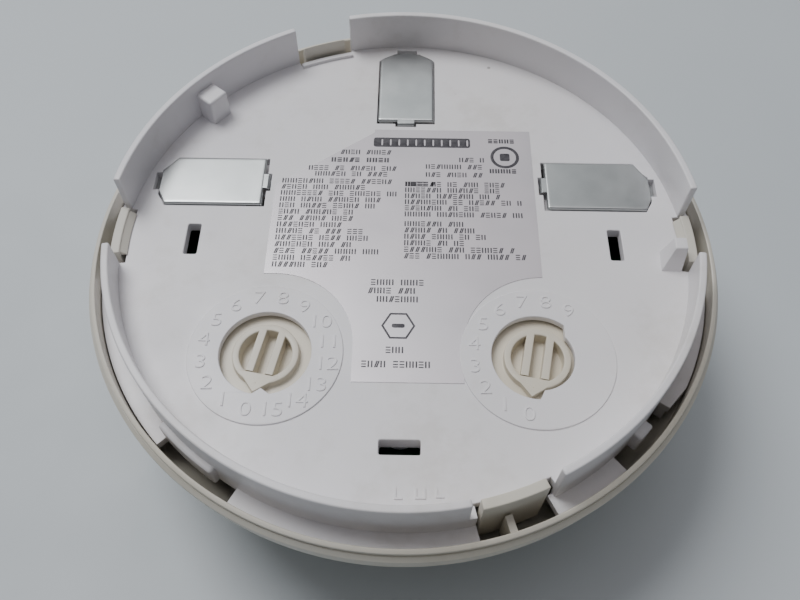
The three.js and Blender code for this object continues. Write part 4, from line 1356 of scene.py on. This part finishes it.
def board_screw(x, y):
    """A pan-head screw seen from below: turned head and ridged shank with a cross recess cut in the head."""
    head_top = BOARD_BOTTOM - 0.02
    pitch = 0.7
    root_and_crest = ((0.78, 0.5), (1.02, 0.85))
    ridges = [(radius, head_top + rise + i * pitch) for i in range(7) for radius, rise in root_and_crest]
    line = [(0, 22.1), (0.9, 22.15), (1.6, 22.4), (1.95, 22.85), (2.0, 23.3), (1.95, head_top),
            (0.8, head_top), *ridges, (0.75, 29.2), (0.3, 29.5), (0, 29.5)]
    cross = [cuboid(-1.15, 1.15, -0.24, 0.24, 21.5, 22.9), cuboid(-0.24, 0.24, -1.15, 1.15, 21.5, 22.9)]
    return moved(combine(turned(line, 36), cross, "DIFFERENCE"), x, y)


piece("printed_board", circuit_board(), BOARD, "housing", "circuit_board")
piece("board_copper", copper_paths(), BOARD, "housing")
piece("solder_joints", solder_joints(), SOLDER, "housing")
piece("component_leads", component_leads(), SOLDER, "housing")
for part_name, sizes in PACKAGES.items():
    piece(f"{part_name}_body", package(*sizes), EPOXY_BLACK, "housing", part_name)
for number, boss in enumerate(BOSS_PLACES, 1):
    piece(f"pan_head_screw_{number}", board_screw(*boss), ZINC, "housing", f"board_screw_{number}")


def crystal_can():
    """A pressed can with round ends on a slightly wider flange."""
    x, y, half, radius = -2.0, 13.0, 2.4, 1.6

    def stadium(grow):
        return np.vstack([arc_points((x + half, y), radius + grow, -90, 90, 12),
                          arc_points((x - half, y), radius + grow, 90, 270, 12)])

    flange = plate([stadium(-0.02)], PARTS_BASE, PARTS_BASE + 0.4, 0.08)
    can = plate([stadium(-0.3)], PARTS_BASE + 0.2, PARTS_BASE + 2.6, 0.25, 3)
    return combine(flange, [can])


def capacitor(x, y, sleeved):
    """A radial can lying down: the sleeve with its crimp, or the bare end with its cross-shaped vent."""
    radius, length = CAPACITOR_RADIUS, 8.0
    if sleeved:
        line = filleted([(radius * 0.84, 0.0), (radius, 0.1), (radius, 1.4), (radius - 0.28, 1.8),
                         (radius, 2.2), (radius, length - 0.15), (radius * 0.8, length)], 0.15, 3)
        body = turned([(0, 0.12), *line, (0, length)], 40)
    else:
        inset, low, high = radius * 0.78, length - 0.4, length + 0.03
        face = turned([(0, low), (inset, low), (inset, high), (0, high)], 32)
        vents = [cuboid(-1.2, 1.2, -0.09, 0.09, length - 0.04, length + 1),
                 cuboid(-0.09, 0.09, -1.2, 1.2, length - 0.04, length + 1)]
        body = combine(face, vents, "DIFFERENCE")
    return laid_along_x(body, x, y, PARTS_BASE + radius)


def capacitor_leads(x, y):
    height = PARTS_BASE + CAPACITOR_RADIUS
    return together([wire([(x + 0.3, y + s, height), (x - 0.6, y + s, height), (x - 1.1, y + s, height - 0.5),
                           (x - 1.2, y + s, BOARD_TOP - 0.2)], 0.25) for s in (-0.9, 0.9)])


def reed_glass():
    """A sealed glass tube that pinches in round its two wires at the ends."""
    half_line = [(1.0, 5.4), (0.8, 6.5), (0.34, 7.2)]
    line = flowing([*[(r, -z) for r, z in half_line[::-1]], (1.0, 0.0), *half_line], 40)
    tube = turned([(0, -7.25), *line, (0, 7.25)], 36)
    return laid_along_x(tube, 0, REED_Y, REED_HEIGHT)


def reed_blades():
    """Two wires whose flattened inner ends overlap inside the glass, bent down to the board outside it."""
    y, height = REED_Y, REED_HEIGHT
    parts = []
    for side in (-1, 1):
        line = [(side * 1.2, y, height), (side * 7.4, y, height), (side * 8.7, y, height),
                (side * 9.0, y, height - 0.5), (side * 9.0, y, BOARD_TOP - 0.2)]
        parts.append(wire(line, 0.22, 24))
    blades = [cuboid(-4.5, 0.6, y - 0.4, y + 0.4, height + 0.06, height + 0.2),
              cuboid(-0.6, 4.5, y - 0.4, y + 0.4, height - 0.2, height - 0.06)]
    return together([*parts, *[eased(blade, 0.04, 1) for blade in blades]])


def status_led(side):
    """A moulded lens on a flat base, hanging under the board's edge."""
    x = side * (BOARD_RADIUS - 2.2)
    base = cuboid(x - 1.5, x + 1.5, -1.2, 1.2, 23.2, BOARD_BOTTOM - 0.02)
    lens = turned([(0, 22.8), (0.5, 22.84), (0.85, 23.0), (0.95, 23.3), (0, 23.3)], 28)
    return combine(eased(base, 0.12, 2), [moved(lens, x, 0)])


def light_pipe(side):
    """A resin rod with a domed foot, a collar and a cupped head that gathers the light."""
    line = [(0, 15.0), (0.7, 15.06), (1.2, 15.3), (1.5, 15.8), (1.5, 18.6), (1.6, 18.8), (1.6, 19.4),
            (1.5, 19.6), (1.5, 22.1), (1.38, 22.3), (1.1, 22.4), (0.5, 22.1), (0, 22.0)]
    return moved(turned(line, 40), side * LIGHT_PIPE_X)


piece("crystal_can", crystal_can(), CRYSTAL, "housing", "clock_crystal")
for part_name, (part_x, part_y) in CAPACITOR_PLACES.items():
    sleeve = capacitor(part_x, part_y, True)
    piece(f"{part_name}_sleeve", sleeve, SLEEVE, "housing", part_name)
    piece(f"{part_name}_end", capacitor(part_x, part_y, False), ALUMINIUM, "housing")
    piece(f"{part_name}_leads", capacitor_leads(part_x, part_y), SOLDER, "housing")
piece("reed_glass", reed_glass(), GLASS, "housing", "reed_switch")
piece("reed_blades", reed_blades(), SOLDER, "housing")
for part_side, sign in (("left", -1), ("right", 1)):
    piece(f"led_lens_{part_side}", status_led(sign), LED_RED, "housing", f"status_led_{part_side}")
    piece(f"light_rod_{part_side}", light_pipe(sign), PIPE_RED, "housing", f"light_pipe_{part_side}")


# ---- rotary switches under the dials ------------------------------------------------------------

SWITCH_HALF = 7.25
SWITCH_TOP = 28.3
PAD_BOTTOM, PAD_TOP = 27.9, 28.02
WIPER_BOTTOM, WIPER_TOP = 28.62, 28.9


def switch_case(centre_x):
    """A square case with a round well for the wiper and a bore for the dial's shaft."""
    half, low, high = SWITCH_HALF, PARTS_BASE, SWITCH_TOP
    body = eased(cuboid(-half, half, -half, half, low, high), 0.35, 3)
    well = turned([(0, low - 1), (2.35, low - 1), (2.35, high - 0.35), (6.6, high - 0.35), (6.7, high + 1),
                   (0, high + 1)], 56)
    notches = [cuboid(s * half - 0.6, s * half + 0.6, t - 0.5, t + 0.5, high - 0.9, high + 1)
               for s in (-1, 1) for t in (-3.5, 3.5)]
    return moved(combine(body, [well, *notches], "DIFFERENCE"), centre_x, DIAL_Y)


def switch_tracks(centre_x):
    """Sixteen contact pads in a ring on the floor of the well."""
    pad = arc_bar(box_section(4.4, 6.3, PAD_BOTTOM, PAD_TOP), -8.5, 8.5, 4)
    return together([moved(pad, centre_x, DIAL_Y, turn=DIAL_ZERO + i * DIGIT_STEP) for i in range(16)])


def switch_pins(centre_x):
    pins = [cuboid(s * 7.0 - 0.3, s * 7.0 + 0.3, t - 0.25, t + 0.25, 22.9, 26.4) for s in (-1, 1)
            for t in (-5.08, -2.54, 0.0, 2.54, 5.08)]
    return moved(together([eased(pin, 0.08, 1) for pin in pins]), centre_x, DIAL_Y)


def wiper(centre_x):
    """A spring ring with two arms; each arm's tip is dished so that a smooth point rubs the track."""
    hub = plate([circle(0, 0, 3.6, 6), circle(0, 0, 2.3, 8)], WIPER_BOTTOM, WIPER_TOP, 0.06)
    arm = ribbon([(3.2, 0.0), (4.6, 0.25), (5.8, 0.0), (6.3, -0.5)], 1.1, 18)
    blade = plate([arm], WIPER_BOTTOM, WIPER_TOP, 0.06)
    bead = turned([(0, 28.5), (0.25, 28.53), (0.4, 28.7), (0.3, 28.88), (0, 28.95)], 16)
    tip = moved(bead, 5.9, -0.15)
    arms = [moved(part, turn=turn) for part in (blade, tip) for turn in (0, 180)]
    return moved(combine(hub, arms), centre_x, DIAL_Y)


for dial, centre in (("tens", -DIAL_X), ("ones", DIAL_X)):
    piece(f"{dial}_switch_well", switch_case(centre), EPOXY_BLACK, "housing", f"{dial}_switch_case")
    piece(f"{dial}_switch_tracks", switch_tracks(centre), SOLDER, "housing")
    piece(f"{dial}_switch_pins", switch_pins(centre), SOLDER, "housing")
    piece(f"{dial}_wiper_spring", wiper(centre), BRASS, f"{dial}_dial", f"{dial}_wiper")


# ---- sensing chamber --------------------------------------------------------------------------------

CHAMBER_TOP = BOARD_BOTTOM - 0.3
CHAMBER_FLOOR = CHAMBER_TOP - 1.8
CHAMBER_SPLIT = 15.6
CAP_BOTTOM = 3.4
CAP_TOP = CAP_BOTTOM + 1.4
CAP_RADIUS = 26.0
VANE_COUNT = 16
SCREEN_INNER, SCREEN_OUTER = 26.45, 26.8
OPTICS_RADIUS = 17.0
OPTICS_HEIGHT = 18.6
EMITTER_ANGLE = 160
RECEIVER_ANGLE = 30


def chamber_base():
    """A shallow black dish with a skirt, stiffening ribs across its back and four snap posts on its rim."""
    split = CHAMBER_SPLIT + 0.3
    line = filleted([(27.0, CHAMBER_TOP), (27.0, CHAMBER_FLOOR), (26.0, CHAMBER_FLOOR), (26.0, split),
                     (24.4, split), (24.4, CHAMBER_FLOOR)], 0.3, 3)
    dish = turned([(0, CHAMBER_TOP), *line, (0, CHAMBER_FLOOR)], 128)
    low, high = CHAMBER_FLOOR - 1.2, CHAMBER_FLOOR + 0.2
    ring = eased(arc_bar(box_section(12.0, 12.8, low, high), 0, 359.9, 4), 0.1)
    rib = eased(cuboid(3, 12.4, -0.4, 0.4, low, high), 0.12)
    ribs = [moved(rib, turn=turn) for turn in range(0, 360, 45)]
    post = eased(arc_bar(box_section(25.7, 26.6, 17.0, high), -3, 3, 1), 0.15)
    posts = [moved(post, turn=turn) for turn in (75, 165, 255, 345)]
    return combine(dish, [ring, *ribs, *posts])


def optics_holder(angle):
    """A block with a bore aimed at the chamber's middle, and chamfered edges."""
    near, far = OPTICS_RADIUS - 4.5, OPTICS_RADIUS + 4.5
    body = eased(cuboid(near, far, -4.0, 4.0, CHAMBER_SPLIT + 0.3, CHAMBER_FLOOR - 0.05), 0.35, 3)
    bore = turned([(0, -8), (2.75, -8), (2.75, 8), (0, 8)], 36)
    bore = laid_along_x(bore, OPTICS_RADIUS, 0, OPTICS_HEIGHT)
    return moved(combine(body, [bore], "DIFFERENCE"), turn=angle)


def optics_lamp(angle):
    """A moulded lamp: domed lens, body and flange turned about the sight line."""
    radius, back = 2.4, 3.0
    dome = [(r, -1.6 - depth) for depth, r in arc_points((0, 0), radius, 0, 90, 9)[1:]]
    flange = [(2.65, 2.2), (2.65, 2.9), (2.5, back)]
    lamp = turned([(0, -4.0), *dome, (radius, 2.2), *flange, (0, back)], 40)
    return moved(laid_along_x(lamp, OPTICS_RADIUS, 0, OPTICS_HEIGHT), turn=angle)


def lamp_leads(angle):
    start, bend = OPTICS_RADIUS + 2.9, OPTICS_RADIUS + 4.0
    pair = [wire([(start, s, OPTICS_HEIGHT), (bend - 0.4, s, OPTICS_HEIGHT), (bend, s, OPTICS_HEIGHT + 0.5),
                  (bend, s, BOARD_BOTTOM + 0.3)], 0.25, 18) for s in (-1.27, 1.27)]
    return moved(together(pair), turn=angle)


def receiver_shield():
    """A bent tinplate hood round three sides of the receiver: a U-shaped section drawn upwards."""
    half, thickness, near, far = 4.3, 0.35, OPTICS_RADIUS - 4.5, OPTICS_RADIUS + 5.2
    outer = filleted([(near, -half - thickness), (far, -half - thickness), (far, half + thickness),
                      (near, half + thickness)], (0.01, 0.9, 0.9, 0.01), 4)
    inner = filleted([(near, half), (far - thickness, half), (far - thickness, -half), (near, -half)],
                     (0.01, 0.6, 0.6, 0.01), 4)
    outline = np.vstack([outer, inner])
    return moved(plate([outline], CHAMBER_SPLIT + 0.3, CHAMBER_FLOOR - 0.05, 0.06), turn=RECEIVER_ANGLE)


def chamber_cap():
    """A disc with a rounded rim, bent light-blocking vanes and a ring-shaped finger groove under it."""
    groove_top = CAP_BOTTOM + 0.35
    groove = [(7.0, CAP_BOTTOM), (7.4, groove_top), (9.4, groove_top), (9.8, CAP_BOTTOM)]
    rim = [(CAP_RADIUS - 0.4, CAP_BOTTOM), (CAP_RADIUS - 0.1, CAP_BOTTOM + 0.1), (CAP_RADIUS, groove_top),
           (CAP_RADIUS, CAP_TOP - 0.2), (CAP_RADIUS - 0.1, CAP_TOP)]
    lid = turned([(0, CAP_BOTTOM), *groove, *rim, (0, CAP_TOP)], 128)
    centre_line = [(18.7, -0.4), (20.4, 0.9), (22.0, 1.65), (23.6, 1.1), (25.0, 0.15)]
    vane = plate([ribbon(centre_line, 0.8, 14)], CAP_TOP - 0.2, CHAMBER_SPLIT - 0.3, 0.1)
    return combine(lid, [moved(vane, turn=i * 360 / VANE_COUNT) for i in range(VANE_COUNT)])


def insect_screen():
    """Etched sheet rolled into a ring: a cylinder grid whose alternate cells are left out as holes."""
    around, up, wire_share = 150, 11, 0.3
    pitch = 2 * np.pi / around
    angle = (np.arange(around)[:, None] * pitch + np.array([0, wire_share * pitch])).ravel()
    low, high = CAP_BOTTOM, CHAMBER_SPLIT - 0.3
    step = (high - low - 0.6) / up
    rows = (np.arange(up)[:, None] * step + np.array([0, 0.74 * step])).ravel()
    levels = np.r_[low, low + 0.3 + rows, high]
    keep = np.ones((len(levels) - 1, len(angle)), bool)
    keep[1::2, 1::2] = False

    def skin(radius):
        z = levels[::-1, None]
        return np.stack([radius * np.cos(angle) + 0 * z, radius * np.sin(angle) + 0 * z, z + 0 * angle], -1)

    return pierced_shell(skin(SCREEN_OUTER), skin(SCREEN_INNER), keep[::-1])


piece("chamber_dish", chamber_base(), CHAMBER_BLACK, "housing", "chamber_base")
for part_name, turn, lamp_name, resin, resin_slot in (
        ("emitter_holder", EMITTER_ANGLE, "infrared_emitter", EMITTER, "emitter_resin"),
        ("receiver_holder", RECEIVER_ANGLE, "photodiode", RECEIVER, "receiver_resin")):
    piece(f"{part_name}_block", optics_holder(turn), CHAMBER_BLACK, "housing", part_name)
    piece(f"{lamp_name}_lamp", optics_lamp(turn), resin, "housing", lamp_name)
    piece(f"{lamp_name}_leads", lamp_leads(turn), SOLDER, "housing")
piece("shield_hood", receiver_shield(), SHIELD, "housing", "receiver_shield")
piece("vaned_cap", chamber_cap(), CHAMBER_BLACK, "chamber_cap", "chamber_cap")
piece("etched_screen", insect_screen(), SCREEN, "chamber_cap", "insect_screen")
